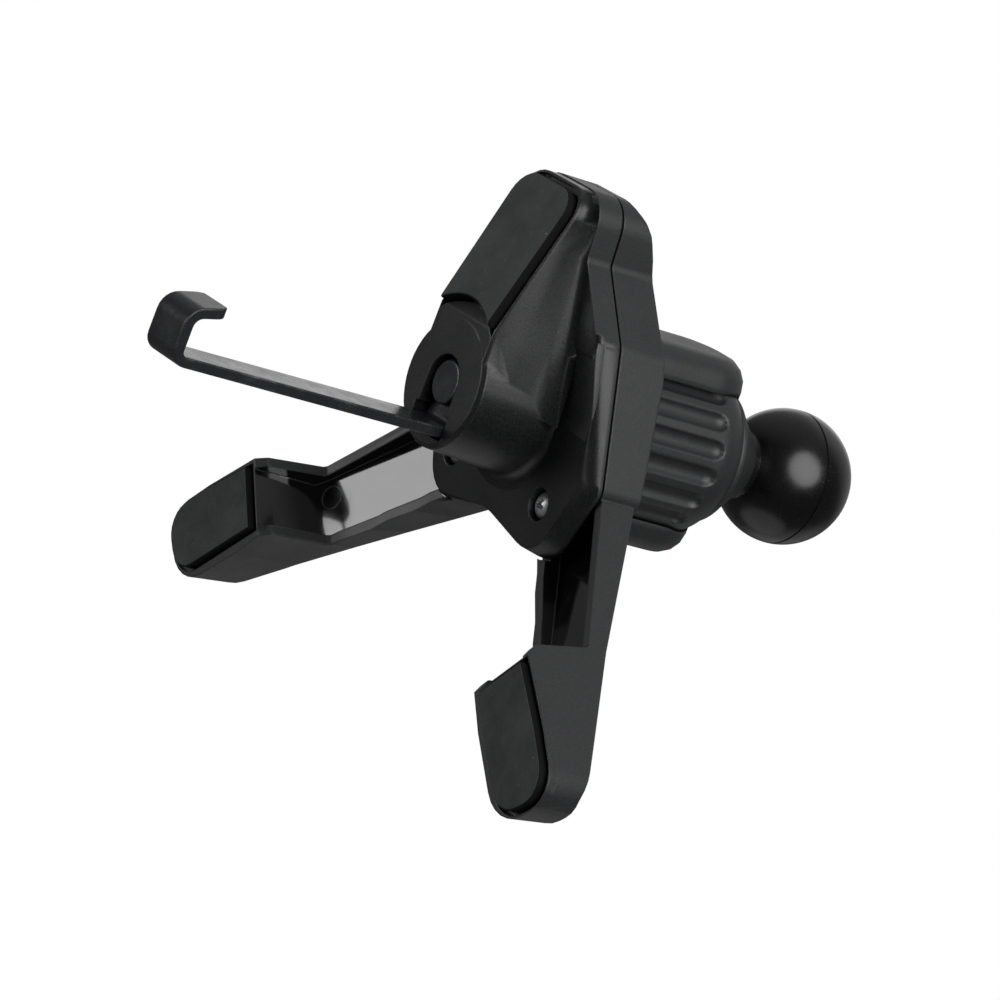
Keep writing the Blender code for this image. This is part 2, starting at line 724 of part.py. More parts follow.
def make_rear_housing():
    rough_back = HOUSING_BACK_Y + BACK_SPARE / 2
    housing = prism("rear_housing", rim_outline, HOUSING_FRONT_Y, rough_back, MATT_PLASTIC)
    wedge = side_prism("finger_back", finger_back(0.0), FAR / 2, cutter=True)
    boolean(housing, wedge, "DIFFERENCE")
    for side in (-1, 1):
        boolean(housing, make_leg(side), "UNION")
    square = [(-FAR, -FAR), (FAR, -FAR), (FAR, FAR), (-FAR, FAR)]
    boolean(housing, prism("back_trim", square, HOUSING_BACK_Y, FAR, cutter=True), "DIFFERENCE")

    nose_y = NUT_REAR_Y + TONGUE_OVERHANG
    root_y = HOUSING_BACK_Y - HOUSING_WALL - TONGUE_ROUND
    plan = rounded([
        (TONGUE_HALF, root_y, 0.0),
        (TONGUE_HALF, nose_y, TONGUE_HALF * 0.98),
        (-TONGUE_HALF, nose_y, TONGUE_HALF * 0.98),
        (-TONGUE_HALF, root_y, 0.0),
    ], 2 * ARC_STEPS)
    tongues = flat_solid("tongues", plan, -TONGUE_TOP, TONGUE_TOP, ALONG_Z, cutter=True)
    soften = tongues.modifiers.new("edge", "BEVEL")
    soften.width = TONGUE_ROUND * MM
    soften.segments = 4
    soften.limit_method = "ANGLE"
    soften.angle_limit = math.radians(50)
    boolean(housing, tongues, "UNION")

    room_outline = grown(rim_outline, PART_LINE)
    front = loft("cover_room", [
        along_y(room_outline, -FAR),
        along_y(room_outline, lambda z: seam_y(z) + PART_LINE / 2),
    ], cutter=True)
    boolean(housing, front, "DIFFERENCE")

    inner = grown(rim_outline, -SIDE_WALL)
    cavity = prism("housing_hollow", inner, -FAR, HOUSING_BACK_Y - HOUSING_WALL, cutter=True)
    slope = side_prism("finger_back_inside", finger_back(HOUSING_WALL), FAR / 2, cutter=True)
    boolean(cavity, slope, "DIFFERENCE")
    boolean(housing, cavity, "DIFFERENCE")
    for side in (-1, 1):
        boolean(housing, make_leg_hollow(side), "DIFFERENCE")
        label = "right" if side > 0 else "left"
        recess = foot_pad(label + "_foot_recess", side, 0.0, -5.0, PAD_THICKNESS, cutter=True)
        boolean(housing, recess, "DIFFERENCE")
        boolean(housing, make_foot_core(side), "DIFFERENCE")

    room = turned("nut_room", [(0.0, FAR), (NUT_REAR_RADIUS + GAP, FAR)] + nut_dome(GAP) + [
        (NUT_RADIUS + GAP, HOUSING_BACK_Y), (0.0, HOUSING_BACK_Y)], cutter=True)
    boolean(housing, room, "DIFFERENCE")
    bore = turned("rod_bore", ring_profile(0.0, HOLE_CLEARANCE, SEAM_Y, NUT_FRONT_Y), cutter=True)
    boolean(housing, bore, "DIFFERENCE")

    for x, z in screw_places():
        column_radius = SCREW_SHANK_RADIUS + GAP + SCREW_COLUMN_WALL
        root = HOUSING_BACK_Y - HOUSING_WALL + 0.5 if x else seam_y(z) + SCREW_LENGTH + 1.0
        column = turned("screw_column", ring_profile(0.0, column_radius, seam_y(z) + PART_LINE, root),
                        cutter=True, x=x, z=z, steps=SMALL_STEPS)
        boolean(housing, column, "UNION")
        pilot = turned("pilot_hole", ring_profile(
            0.0, SCREW_SHANK_RADIUS + GAP, -FAR, seam_y(z) + SCREW_LENGTH - SCREW_SEAT + 2 * GAP),
                       cutter=True, x=x, z=z, steps=SMALL_STEPS)
        boolean(housing, pilot, "DIFFERENCE")
    return housing


# Hook, rod, rivet
def hook_path():
    """Middle line (y, z) of the strip, from the tab behind the boss to the lip."""
    half = HOOK_THICKNESS / 2
    tab_y = TAB_FRONT_Y + half
    level = HOOK_TOP_Z - half
    front_y = BOSS_FACE_Y - HOOK_REACH + half
    top = HOOK_TOP_Z - HOOK_THICKNESS + HOOK_HEIGHT - half
    lip = HOOK_LIP - half
    rise = math.tan(HOOK_LIP_RISE) * lip
    return rounded([
        (tab_y, HOOK_TAB_TOP, 0.0),
        (tab_y, level, HOOK_BEND - half + 0.3),
        (front_y, level, HOOK_BEND - half + 0.3),
        (front_y, top - rise, HOOK_TOP_BEND - half),
        (front_y + lip, top, 0.0),
    ])


def make_hook():
    path = hook_path()
    half = HOOK_THICKNESS / 2
    left, right = [], []
    for index, point in enumerate(path):
        here = Vector(point)
        before = Vector(path[max(index - 1, 0)])
        after = Vector(path[min(index + 1, len(path) - 1)])
        along = (after - before).normalized()
        across = Vector((-along.y, along.x)) * half
        left.append(here + across)
        right.append(here - across)
    outline = [(point.y, point.x) for point in left + list(reversed(right))]
    hook = side_prism("hook", outline, HOOK_WIDTH / 2)
    hook.data.materials.append(COATED_STEEL)

    top = HOOK_TOP_Z - HOOK_THICKNESS + HOOK_HEIGHT
    lip_end = BOSS_FACE_Y - HOOK_REACH + HOOK_LIP
    plan = [
        (HOOK_WIDTH / 2, lip_end - HOOK_LIP - 1.0, 0.0),
        (HOOK_WIDTH / 2, lip_end, HOOK_CORNER),
        (-HOOK_WIDTH / 2, lip_end, HOOK_CORNER),
        (-HOOK_WIDTH / 2, lip_end - HOOK_LIP - 1.0, 0.0),
    ]
    frame = [(x, y) for x, y, radius in plan]
    lip_plan = rounded(plan)
    keep = flat_solid("lip_outline", lip_plan, top - HOOK_HEIGHT / 2, top + 2.0, ALONG_Z, cutter=True)
    wide = [(x * 1.5, y + (2.0 if y == lip_end else 0.0)) for x, y in frame]
    around = flat_solid("lip_corners", wide, top - HOOK_HEIGHT / 2 + 0.5, top + 1.0, ALONG_Z, cutter=True)
    boolean(around, keep, "DIFFERENCE")
    boolean(hook, around, "DIFFERENCE")

    hole_profile = ring_profile(0.0, RIVET_SHANK_RADIUS + GAP, -FAR / 4, ROD_FRONT_Y + 1.0)
    hole = turned("tab_hole", hole_profile, cutter=True)
    boolean(hook, hole, "DIFFERENCE")
    return hook


def make_rivet():
    head_y = BOSS_FACE_Y + RIVET_RECESS
    under = min(head_y + RIVET_HEAD, TAB_FRONT_Y - GAP)
    end = ROD_FRONT_Y + RIVET_SHANK
    turned("hook_rivet", [
        (0.0, end),
        (RIVET_SHANK_RADIUS - 0.2, end),
        (RIVET_SHANK_RADIUS, end - 0.3),
        (RIVET_SHANK_RADIUS, under),
        (RIVET_HEAD_RADIUS, under),
        (RIVET_HEAD_RADIUS, head_y + 0.2),
        (RIVET_HEAD_RADIUS - 0.25, head_y),
        (0.0, head_y),
    ], COATED_STEEL, steps=24)


def make_rod():
    rod_end = ROD_FRONT_Y + ROD_LENGTH
    hole = RIVET_SHANK_RADIUS + GAP
    hole_end = ROD_FRONT_Y + RIVET_SHANK + GAP
    turned("threaded_rod", [
        (0.0, rod_end),
        (ROD_RADIUS - 0.5, rod_end),
        (ROD_RADIUS, rod_end - 0.5),
        (ROD_RADIUS, ROD_FRONT_Y + 0.3),
        (ROD_RADIUS - 0.3, ROD_FRONT_Y),
        (hole, ROD_FRONT_Y),
        (hole, hole_end),
        (0.0, hole_end),
    ], ZINC_STEEL)


# Nut, washer, ball
def nut_dome(extra):
    """Profile points of the nut's dome, from its rear edge to its cylinder, moved out by extra."""
    start_y = NUT_REAR_Y - NUT_DOME
    drop = NUT_RADIUS - NUT_REAR_RADIUS
    radius = (NUT_DOME ** 2 + drop ** 2) / (2 * drop)
    end = math.degrees(math.asin(NUT_DOME / radius))
    points = arc_profile(NUT_RADIUS - radius, start_y, radius, end, 0.0, ARC_STEPS + 2)
    return [(r + extra, y) for r, y in points]


def make_nut():
    pocket = HEX_FLATS / 2 / math.cos(math.pi / 6) + GAP
    pocket_y = NUT_FRONT_Y + 2 * GAP + HEX_THICKNESS + GAP
    nut = turned("tightening_nut", [(HOLE_CLEARANCE, NUT_REAR_Y)] + nut_dome(0.0) + [
        (NUT_RADIUS, NUT_FRONT_Y + 0.4),
        (NUT_RADIUS - 0.4, NUT_FRONT_Y),
        (HOLE_CLEARANCE, NUT_FRONT_Y),
        (HOLE_CLEARANCE, NUT_REAR_Y),
    ], MATT_PLASTIC)

    flute_end = NUT_REAR_Y - NUT_DOME - NUT_FLUTE_RADIUS + NUT_FLUTE_BACK
    bm = bmesh.new()
    for index in range(NUT_RIBS):
        angle = 2 * math.pi * (index + NUT_FLUTE_TURN) / NUT_RIBS
        reach = NUT_RADIUS - NUT_FLUTE_DEPTH + NUT_FLUTE_RADIUS
        centre = Vector((reach * math.cos(angle), 0.0, reach * math.sin(angle)))
        made = bmesh.ops.create_cone(bm, cap_ends=True, segments=12, radius1=NUT_FLUTE_RADIUS,
                                     radius2=NUT_FLUTE_RADIUS, depth=NUT_LENGTH)
        lie = Matrix.Rotation(-math.pi / 2, 4, "X")
        place = Matrix.Translation((centre.x, flute_end - NUT_LENGTH / 2, centre.z))
        bmesh.ops.transform(bm, matrix=place @ lie, verts=made["verts"])
        caps = [v for v in made["verts"] if v.co.y > flute_end - 1.0]
        middle = sum((v.co for v in caps), Vector()) / len(caps)
        face = next(f for f in bm.faces if set(f.verts) == set(caps))
        for share, shift in ((0.92, 0.39), (0.71, 0.7), (0.39, 0.92)):
            grown_cap = bmesh.ops.extrude_discrete_faces(bm, faces=[face])["faces"][0]
            face = grown_cap
            for vert in face.verts:
                flat = vert.co - middle
                flat.y = 0.0
                vert.co = middle + flat.normalized() * NUT_FLUTE_RADIUS * share
                vert.co.y = flute_end + NUT_FLUTE_RADIUS * shift
    flutes = finished(bm, "flutes", cutter=True)
    boolean(nut, flutes, "DIFFERENCE")

    bm = bmesh.new()
    bmesh.ops.create_cone(bm, cap_ends=True, segments=6, radius1=pocket, radius2=pocket, depth=pocket_y)
    bmesh.ops.rotate(bm, verts=bm.verts, cent=(0, 0, 0), matrix=Matrix.Rotation(-math.pi / 2, 3, "X"))
    bmesh.ops.translate(bm, verts=bm.verts, vec=(0.0, pocket_y / 2, 0.0))
    boolean(nut, finished(bm, "hex_pocket", cutter=True), "DIFFERENCE")


def make_hex_nut():
    radius = HEX_FLATS / 2 / math.cos(math.pi / 6)
    front = NUT_FRONT_Y + 2 * GAP
    bm = bmesh.new()
    bmesh.ops.create_cone(bm, cap_ends=True, segments=6, radius1=radius, radius2=radius, depth=HEX_THICKNESS)
    bmesh.ops.rotate(bm, verts=bm.verts, cent=(0, 0, 0), matrix=Matrix.Rotation(-math.pi / 2, 3, "X"))
    bmesh.ops.translate(bm, verts=bm.verts, vec=(0.0, front + HEX_THICKNESS / 2, 0.0))
    nut = finished(bm, "hex_nut", ZINC_STEEL)
    bore_profile = ring_profile(0.0, HOLE_CLEARANCE, front - 1.0, front + HEX_THICKNESS + 1.0)
    bore = turned("hex_bore", bore_profile, cutter=True)
    boolean(nut, bore, "DIFFERENCE")


def make_washer():
    front = HOUSING_BACK_Y + GAP
    profile = ring_profile(HOLE_CLEARANCE + 0.1, WASHER_RADIUS, front, front + WASHER_THICKNESS)
    turned("thrust_washer", profile, ZINC_STEEL)


def make_ball_stud():
    steps = 3 * ARC_STEPS
    neck_meets = math.degrees(math.asin(-(BALL_RADIUS ** 2 - (NECK_RADIUS + 0.4) ** 2) ** 0.5 / BALL_RADIUS))
    profile = arc_profile(0.0, BALL_Y, BALL_RADIUS, 90.0, neck_meets, steps)
    profile[0] = (0.0, BALL_Y + BALL_RADIUS)
    meet_y = profile[-1][1]
    collar_back = COLLAR_Y + COLLAR_LENGTH
    for step in range(1, ARC_STEPS + 1):
        share = step / ARC_STEPS
        y = meet_y + (collar_back - meet_y) * share
        radius = NECK_RADIUS + (COLLAR_END_RADIUS - NECK_RADIUS) * share ** 2.6 + 0.4 * (1 - share) ** 3
        profile.append((radius, y))
    bulge = 0.25
    profile.append(((COLLAR_END_RADIUS + COLLAR_RADIUS) / 2 + bulge, (collar_back + COLLAR_Y) / 2))
    rod_end = ROD_FRONT_Y + ROD_LENGTH + GAP
    profile += [
        (COLLAR_RADIUS, COLLAR_Y + 0.2),
        (COLLAR_RADIUS - 0.2, COLLAR_Y),
        (HOLE_CLEARANCE, COLLAR_Y),
        (HOLE_CLEARANCE, rod_end),
        (0.0, rod_end),
    ]
    turned("ball_stud", profile, GLOSSY_PLASTIC)


# Screws
def make_screws():
    names = ("left_cover_screw", "right_cover_screw", "finger_cover_screw")
    for name, (x, z) in zip(names, screw_places()):
        under = seam_y(z) - SCREW_SEAT - GAP
        end = under + SCREW_LENGTH
        turned(name, [
            (0.0, end),
            (SCREW_SHANK_RADIUS - 0.4, end),
            (SCREW_SHANK_RADIUS, end - 0.8),
            (SCREW_SHANK_RADIUS, under),
            (SCREW_HEAD_RADIUS, under),
            (SCREW_HEAD_RADIUS, under - SCREW_HEAD * 0.6),
            (SCREW_HEAD_RADIUS - 0.35, under - SCREW_HEAD),
            (0.0, under - SCREW_HEAD),
        ], ZINC_STEEL, x=x, z=z, steps=SMALL_STEPS)


def make_pads():
    pad_prism("finger_pad", 0.0, -FINGER_PAD_PROUD, PAD_THICKNESS - GAP, RUBBER)
    for side, name in ((-1, "left_leg_pad"), (1, "right_leg_pad")):
        foot_pad(name, side, PAD_GAP, -PAD_PROUD, PAD_THICKNESS - GAP, RUBBER)


make_front_cover()
make_rear_housing()
make_pads()
make_hook()
make_rivet()
make_rod()
make_nut()
make_hex_nut()
make_washer()
make_ball_stud()
make_screws()
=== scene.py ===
"""Looks of an air-vent hook clip: plastics, rubber, coated steel, flutes, thread and wear, on its solids."""

import math

import bmesh
import bpy
from bpy.props import FloatProperty, FloatVectorProperty, IntProperty, PointerProperty
from mathutils import Matrix, Vector


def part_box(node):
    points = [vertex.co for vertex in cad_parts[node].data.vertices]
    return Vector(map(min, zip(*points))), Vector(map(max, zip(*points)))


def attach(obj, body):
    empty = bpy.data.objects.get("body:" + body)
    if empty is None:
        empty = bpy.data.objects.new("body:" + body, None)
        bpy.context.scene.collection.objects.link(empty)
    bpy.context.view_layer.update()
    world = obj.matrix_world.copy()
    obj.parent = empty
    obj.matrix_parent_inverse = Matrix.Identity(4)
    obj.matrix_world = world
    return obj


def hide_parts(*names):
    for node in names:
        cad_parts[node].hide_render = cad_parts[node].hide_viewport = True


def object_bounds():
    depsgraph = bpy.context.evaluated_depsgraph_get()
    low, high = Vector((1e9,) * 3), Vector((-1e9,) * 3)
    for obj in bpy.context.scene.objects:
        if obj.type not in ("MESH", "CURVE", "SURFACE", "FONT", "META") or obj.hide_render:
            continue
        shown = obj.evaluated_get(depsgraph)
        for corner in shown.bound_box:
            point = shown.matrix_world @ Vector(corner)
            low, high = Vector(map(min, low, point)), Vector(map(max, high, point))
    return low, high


bl_info = {
    "name": "Vent Hook Clip",
    "version": (1, 0, 0),
    "blender": (4, 5, 0),
    "location": "3D View > Sidebar > Vent Clip",
    "description": "Dresses the solids of an air-vent hook clip with its finishes and fine forms",
    "category": "Object",
}

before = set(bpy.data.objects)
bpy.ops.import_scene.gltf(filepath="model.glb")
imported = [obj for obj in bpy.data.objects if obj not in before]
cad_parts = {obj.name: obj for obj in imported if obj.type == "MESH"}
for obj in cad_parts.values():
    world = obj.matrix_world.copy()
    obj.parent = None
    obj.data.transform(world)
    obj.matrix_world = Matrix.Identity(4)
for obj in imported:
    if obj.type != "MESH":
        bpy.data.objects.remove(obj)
SOLID_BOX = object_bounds()

MM = 0.001

# Camera
LOOK = Vector((-0.805, 0.573, -0.1537)).normalized()
CAMERA_PLACE = (0.4833, -0.3311, 0.0802)
CAMERA_UP = (-0.326, -0.2107, 0.9216)
CAMERA_LENS = 180.0
SENSOR_WIDTH = 36.0
NEAREST_SEEN = 0.01
FARTHEST_SEEN = 20.0

# Lamps, by their directions from the clip, with half angles in degrees
KEY_FROM = Vector((0.866, -0.008, 0.497)).normalized()
KEY_HALF_ANGLE = 27.0
KEY_BRIGHTNESS = 4.5
FILL_FROM = Vector((-0.49, -0.86, 0.145)).normalized()
FILL_HALF_ANGLE = 17.0
FILL_BRIGHTNESS = 4.0
LAMP_REACH = 1.2

# Soft patches of the sky: direction, angle to which one is full, angle at which it ends, brightness
BACKDROP = (Vector((-0.81, 0.57, 0.12)).normalized(), 10.0, 26.0, 1.0)
OVERHEAD = (Vector((-0.3, 0.2, 1.0)).normalized(), 10.0, 60.0, 0.25)
BESIDE = (Vector((-0.35, 0.85, 0.35)).normalized(), 12.0, 45.0, 0.3)
BELOW = (Vector((-0.24, 0.57, -0.78)).normalized(), 8.0, 34.0, 0.28)
ROOM_LIGHT = 0.09
BACKDROP_SHARE = 0.6

# Floor
FLOOR_DROP = 0.65
FLOOR_RADIUS = 0.34
FLOOR_SIDES = 96

# Legs, as seen along the rod
LEG_ANGLE = math.radians(48.0)
LEG_BACK_START = 16.0 * MM
LEG_BACK_SLOPE = 0.325
LEG_FLOOR_WALL = 1.5 * MM
CHANNEL_START = 11.0 * MM
CHANNEL_END = 40.3 * MM
CHANNEL_MIDDLE = 1.2 * MM
CHANNEL_FLOOR_SPARE = 0.6 * MM
CHANNEL_END_SPARE = 1.0 * MM
FACES_ALONG = 0.8
FACES_ACROSS = 0.5

# Ejector marks, whose raised rim stands on the channel's floor
MARK_ALONG = 37.7 * MM
MARK_ACROSS = 3.0 * MM
MARK_RIM = 0.08 * MM
MARK_RISE = 0.07 * MM
MARK_SKIRT = 0.1 * MM
MARK_SINK = 0.02 * MM
MARK_STEPS = 48

# Front cover; each plate has its y at the rod's height and falls with the height
UPPER_PLATE = 9.03 * MM
LOWER_PLATE = 10.17 * MM
PLATE_LEAN = 0.09
RAMP_TOP = 11.5 * MM
RAMP_FOOT = 0.0
RAMP_ROOT = 8.0 * MM
RAMP_SKIN = 0.015 * MM
RAMP_SINK = 0.3 * MM
RAMP_STEPS = 16
RIM_START = 8.0 * MM
RIM_EDGE = 15.95 * MM
RIM_LEAN = 0.22
RIM_FLATNESS = 0.3
WALL_EDGE = 17.02 * MM
WALL_LEAN = 0.29
EDGE_TURN = 0.35 * MM
EDGE_CORNER = 0.3
BOSS_REACH = 11.0 * MM
COVER_SHARP_ANGLE = 24.0

# Tightening nut
NUT_STANDOFF = 1.2 * MM
NUT_DOME = 4.3 * MM
NUT_REAR_RADIUS = 8.85 * MM
NUT_CLEARANCE = 0.3 * MM
NUT_SHARP_ANGLE = 40.0
NUT_ROWS = 70
FLUTE_STOP = 1.2 * MM
FLUTE_FADE = 1.25
FLUTE_FULLNESS = 0.6
FLUTE_COLUMNS = 20

# Threaded rod; crest and root are in shares of the pitch
THREAD_CREST = 0.06
THREAD_ROOT = 0.44
ROWS_PER_PITCH = 8
ROD_COLUMNS = 41
TURNS_BELOW = 100.0

# Ball stud
GATE_RADIUS = 0.38 * MM
GATE_MOUTH = 0.48 * MM
GATE_DEPTH = 0.4 * MM
GATE_LIP = 0.06 * MM
GATE_ANGLE = 85.6
PARTING_ANGLE = 1.2
PARTING_HALF_WIDTH = 0.08 * MM
BALL_STEPS = 128
BACK_ARC_STEPS = 40
FRONT_ARC_STEPS = 30
BALL_SHARP_ANGLE = 28.0
NECK_RADIUS = 4.4 * MM
NECK_LENGTH = 1.0 * MM
NECK_CHAMFER = 0.25 * MM
CONE_STEPS = 12
CONE_HOLLOW = 1.1
COLLAR_BAND = 0.7 * MM
COLLAR_CHAMFER = 0.2 * MM

# Cover screws, with the recess in shares of the head's radius and height
SCREW_HEAD = 1.15 * MM
SCREW_LIFT = 0.5 * MM
SCREW_STEPS = 32
SCREW_ARC_STEPS = 8
SHANK_SHARE = 0.52
POINT_START = 0.8
RECESS_TURN = 0.35
RECESS_WIDTH = 0.32
RECESS_MOUTH = (1.2, 1.6)
RECESS_FLOOR = (0.7, 0.3)

# Pads
PAD_FRONT_FACING = 0.75
PAD_LEAST_SHRINK = 0.5

# Edges: the angle from which one stays sharp, in degrees, and how its light and its wear are worked out
SHARP_ANGLE = 32.0
FLAT_ANGLE = 0.004
EVEN_WEIGHT = 90
EDGE_SAMPLES = 6
STRIP_WEAR = 1.4

# Distances within which points are joined
SOLID_WELD = 0.000001
TURNED_WELD = 0.0000005
WRAPPED_WELD = 0.000002


def node_box(name):
    """Lowest and highest corner of a solid, in metres."""
    low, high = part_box(name)
    return Vector(low), Vector(high)


NUT_LOW, NUT_HIGH = node_box("tightening_nut")
BALL_LOW, BALL_HIGH = node_box("ball_stud")
ROD_LOW, ROD_HIGH = node_box("threaded_rod")
HOUSING_BACK = NUT_LOW.y - NUT_STANDOFF


# Colours
def linear(hex_colour):
    """An sRGB hex colour such as #1a1b1c as linear red, green, blue and alpha."""
    values = [int(hex_colour[i:i + 2], 16) / 255 for i in (1, 3, 5)]
    return [v / 12.92 if v <= 0.04045 else ((v + 0.055) / 1.055) ** 2.4 for v in values] + [1.0]


def colour_property(name, description, hex_colour):
    """A colour in the sidebar."""
    return FloatVectorProperty(name=name, description=description, subtype="COLOR", size=4, min=0.0, max=1.0,
                               default=linear(hex_colour))


def length_property(name, description, millimetres, most=50.0):
    """A length in the sidebar, given in millimetres."""
    return FloatProperty(name=name, description=description, unit="LENGTH", subtype="DISTANCE", precision=5,
                         min=0.0, max=most * MM, default=millimetres * MM)


class VentClipSizes(bpy.types.PropertyGroup):
    """Sizes of the fine forms that the solids leave out."""

    ball_diameter: length_property("Ball diameter", "Diameter of the ball that a cradle snaps onto", 17.0)
    parting_groove: length_property("Parting groove", "Depth of the moulding line around the ball", 0.14, 1.0)
    flutes: IntProperty(name="Flutes", description="Number of grooves around the tightening nut",
                        default=20, min=3, max=60)
    flute_width: length_property("Flute width", "Width of one groove of the nut", 2.3, 5.0)
    flute_depth: length_property("Flute depth", "Depth of one groove of the nut", 0.75, 3.0)
    flute_turn: FloatProperty(name="Flute turn", default=0.77, min=0.0, max=1.0,
                              description="Share of one groove by which the nut stands turned")
    thread_pitch: length_property("Thread pitch", "Travel of the rod for each turn of the nut", 1.0, 5.0)
    thread_depth: length_property("Thread depth", "Depth of the rod's thread", 0.55, 2.0)
    edge_round: length_property("Moulded edge", "Rounding of the edges of the moulded housings", 0.3, 2.0)
    pad_round: length_property("Pad edge", "Rounding of the edges of the rubber pads", 0.25, 2.0)
    pad_gap: length_property("Pad gap", "Shrinkage of a rubber pad from the rim of its seat", 0.25, 1.0)
    strip_round: length_property("Strip edge", "Rounding of the edges of the stamped hook", 0.22, 1.0)
    mark_radius: length_property("Ejector mark", "Radius of the mark that a mould's pin leaves in a leg",
                                 1.55, 4.0)


class VentClipColours(bpy.types.PropertyGroup):
    """Colours of the finishes."""

    textured_plastic: colour_property("Textured plastic", "Housing and nut", "#1b1c1d")
    cover_plastic: colour_property("Cover plastic", "Front cover, in a finer texture", "#090a0a")
    smooth_plastic: colour_property("Smooth plastic", "Polished channels of the legs", "#0d0d0e")
    ball_plastic: colour_property("Ball plastic", "Polished ball stud", "#070708")
    rubber: colour_property("Rubber", "Pads on the finger and the feet", "#191b1c")
    coat: colour_property("Steel coat", "Black coat of the hook", "#2b2c2f")
    bare_steel: colour_property("Bare steel", "Where the hook's coat is rubbed through", "#a9a7a3")
    zinc: colour_property("Zinc", "Screws, rod, washer and hexagon nut", "#dcdddf")
    floor: colour_property("Floor", "Studio floor", "#e9e9e9")


# Nodes
def add(tree, kind, settings=None, links=None):
    """Add a node, set its properties and sockets, and link its inputs."""
    node = tree.nodes.new(kind)
    for name, value in (settings or {}).items():
        if isinstance(name, int) or name in node.inputs:
            node.inputs[name].default_value = value
        else:
            setattr(node, name, value)
    for name, source in (links or {}).items():
        tree.links.new(source, node.inputs[name])
    return node


def maths(tree, operation, first, second=None, third=None):
    """One step of arithmetic on numbers or sockets."""
    given = list(enumerate((first, second, third)))
    values = {index: value for index, value in given if isinstance(value, (int, float))}
    links = {index: value for index, value in given if isinstance(value, bpy.types.NodeSocket)}
    return add(tree, "ShaderNodeMath", {"operation": operation, **values}, links).outputs["Value"]


def minus(tree, first, second):
    """The first value less the second."""
    return maths(tree, "SUBTRACT", first, second)


def times(tree, first, second):
    """The product of two values."""
    return maths(tree, "MULTIPLY", first, second)


def ramp(tree, value, low, high, to_low=0.0, to_high=1.0, kind="LINEAR"):
    """A value spread from one range to another."""
    ends = {"From Min": low, "From Max": high, "To Min": to_low, "To Max": to_high}
    ends["interpolation_type"] = kind
    return add(tree, "ShaderNodeMapRange", ends, {"Value": value}).outputs["Result"]


def noise(tree, place, scale, detail, roughness=0.5):
    """Fractal noise over a place; the scale counts its cells for each metre."""
    return add(tree, "ShaderNodeTexNoise", {"Scale": scale, "Detail": detail, "Roughness": roughness},
               {"Vector": place}).outputs["Fac"]


def bumps(tree, height, strength, distance, normal=None):
    """Normals bent by a height."""
    links = {"Height": height}
    if normal is not None:
        links["Normal"] = normal
    return add(tree, "ShaderNodeBump", {"Strength": strength, "Distance": distance}, links).outputs["Normal"]


def soft_edges(tree, radius):
    """Normals that run round an edge, and how much of an edge each place is: 0 on a flat, 1 on the edge."""
    bend = add(tree, "ShaderNodeBevel", {"Radius": radius, "samples": EDGE_SAMPLES}).outputs["Normal"]
    flat = add(tree, "ShaderNodeNewGeometry").outputs["Normal"]
    along = add(tree, "ShaderNodeVectorMath", {"operation": "DOT_PRODUCT"}, {0: bend, 1: flat})
    return bend, ramp(tree, along.outputs["Value"], 0.995, 0.88)


def specks(tree, place, cell, size, share):
    """Dust: a few small round specks, one at most in each cell of the given width."""
    wide = add(tree, "ShaderNodeTexVoronoi", {"Scale": 1.0 / cell, "feature": "F1"}, {"Vector": place})
    near = ramp(tree, wide.outputs["Distance"], size / cell, 0.4 * size / cell)
    draw = add(tree, "ShaderNodeSeparateColor", None, {"Color": wide.outputs["Color"]}).outputs["Red"]
    return times(tree, near, ramp(tree, draw, 1.0 - share, 1.0 - share + 0.01))


def blend_colour(tree, share, low, high):
    """A colour between two, by a share that changes over the surface."""
    return add(tree, "ShaderNodeMix", {"data_type": "RGBA", 6: low, 7: high}, {0: share}).outputs[2]


def scratches(tree, place, across, along, turn, level):
    """Fine rubbed lines that run along one direction; a higher level leaves fewer of them."""
    cells = (1.0 / across, 1.0 / along, 1.0 / across)
    turned = add(tree, "ShaderNodeMapping", {"Rotation": turn, "Scale": cells}, {"Vector": place})
    lines = noise(tree, turned.outputs["Vector"], scale=1.0, detail=3.0, roughness=0.65)
    return ramp(tree, lines, level, level + 0.08)


# Materials
def new_material(name, values):
    """A material with its even values set on its shader, and the object's own coordinates."""
    made = bpy.data.materials.new(name)
    made.use_nodes = True
    tree = made.node_tree
    shader = tree.nodes["Principled BSDF"]
    for socket, value in values.items():
        shader.inputs[socket].default_value = value
    place = add(tree, "ShaderNodeTexCoord").outputs["Object"]
    return made, tree, shader, place


def dress(tree, shader, colour, rough, normal=None):
    """Link a finish's colour, roughness and normals to its shader."""
    tree.links.new(colour, shader.inputs["Base Color"])
    tree.links.new(rough, shader.inputs["Roughness"])
    if normal is not None:
        tree.links.new(normal, shader.inputs["Normal"])


def textured_abs(name, sizes, colour, depth, least, most, gloss=0.5):
    """Black ABS from a spark-eroded mould: a fine dull grain that greys the light, smoother at edges, with
    its colour painted lighter there: a painted highlight along the rims, with a little edge wear.
    """
    made, tree, shader, place = new_material(name, {"IOR": 1.53, "Specular IOR Level": gloss})
    # The real grain is about 0.1 mm; it is drawn at 0.17 mm, the finest that this picture can show.
    grain = noise(tree, place, scale=5900.0, detail=2.0, roughness=0.55)
    cloud = noise(tree, place, scale=110.0, detail=5.0, roughness=0.6)
    bend, edge = soft_edges(tree, sizes.edge_round)
    # The edge mask lightens the colour: a painted highlight along the rims, with a little edge wear.
    tone = maths(tree, "MULTIPLY_ADD", edge, 0.45, ramp(tree, grain, 0.35, 0.7, 0.0, 0.4))
    base = blend_colour(tree, tone, list(colour), linear("#3a3b3d"))
    rough = maths(tree, "MULTIPLY_ADD", edge, -0.14, ramp(tree, cloud, 0.3, 0.7, least, most))
    dress(tree, shader, base, rough, bumps(tree, grain, depth, 0.00005, bend))
    return made


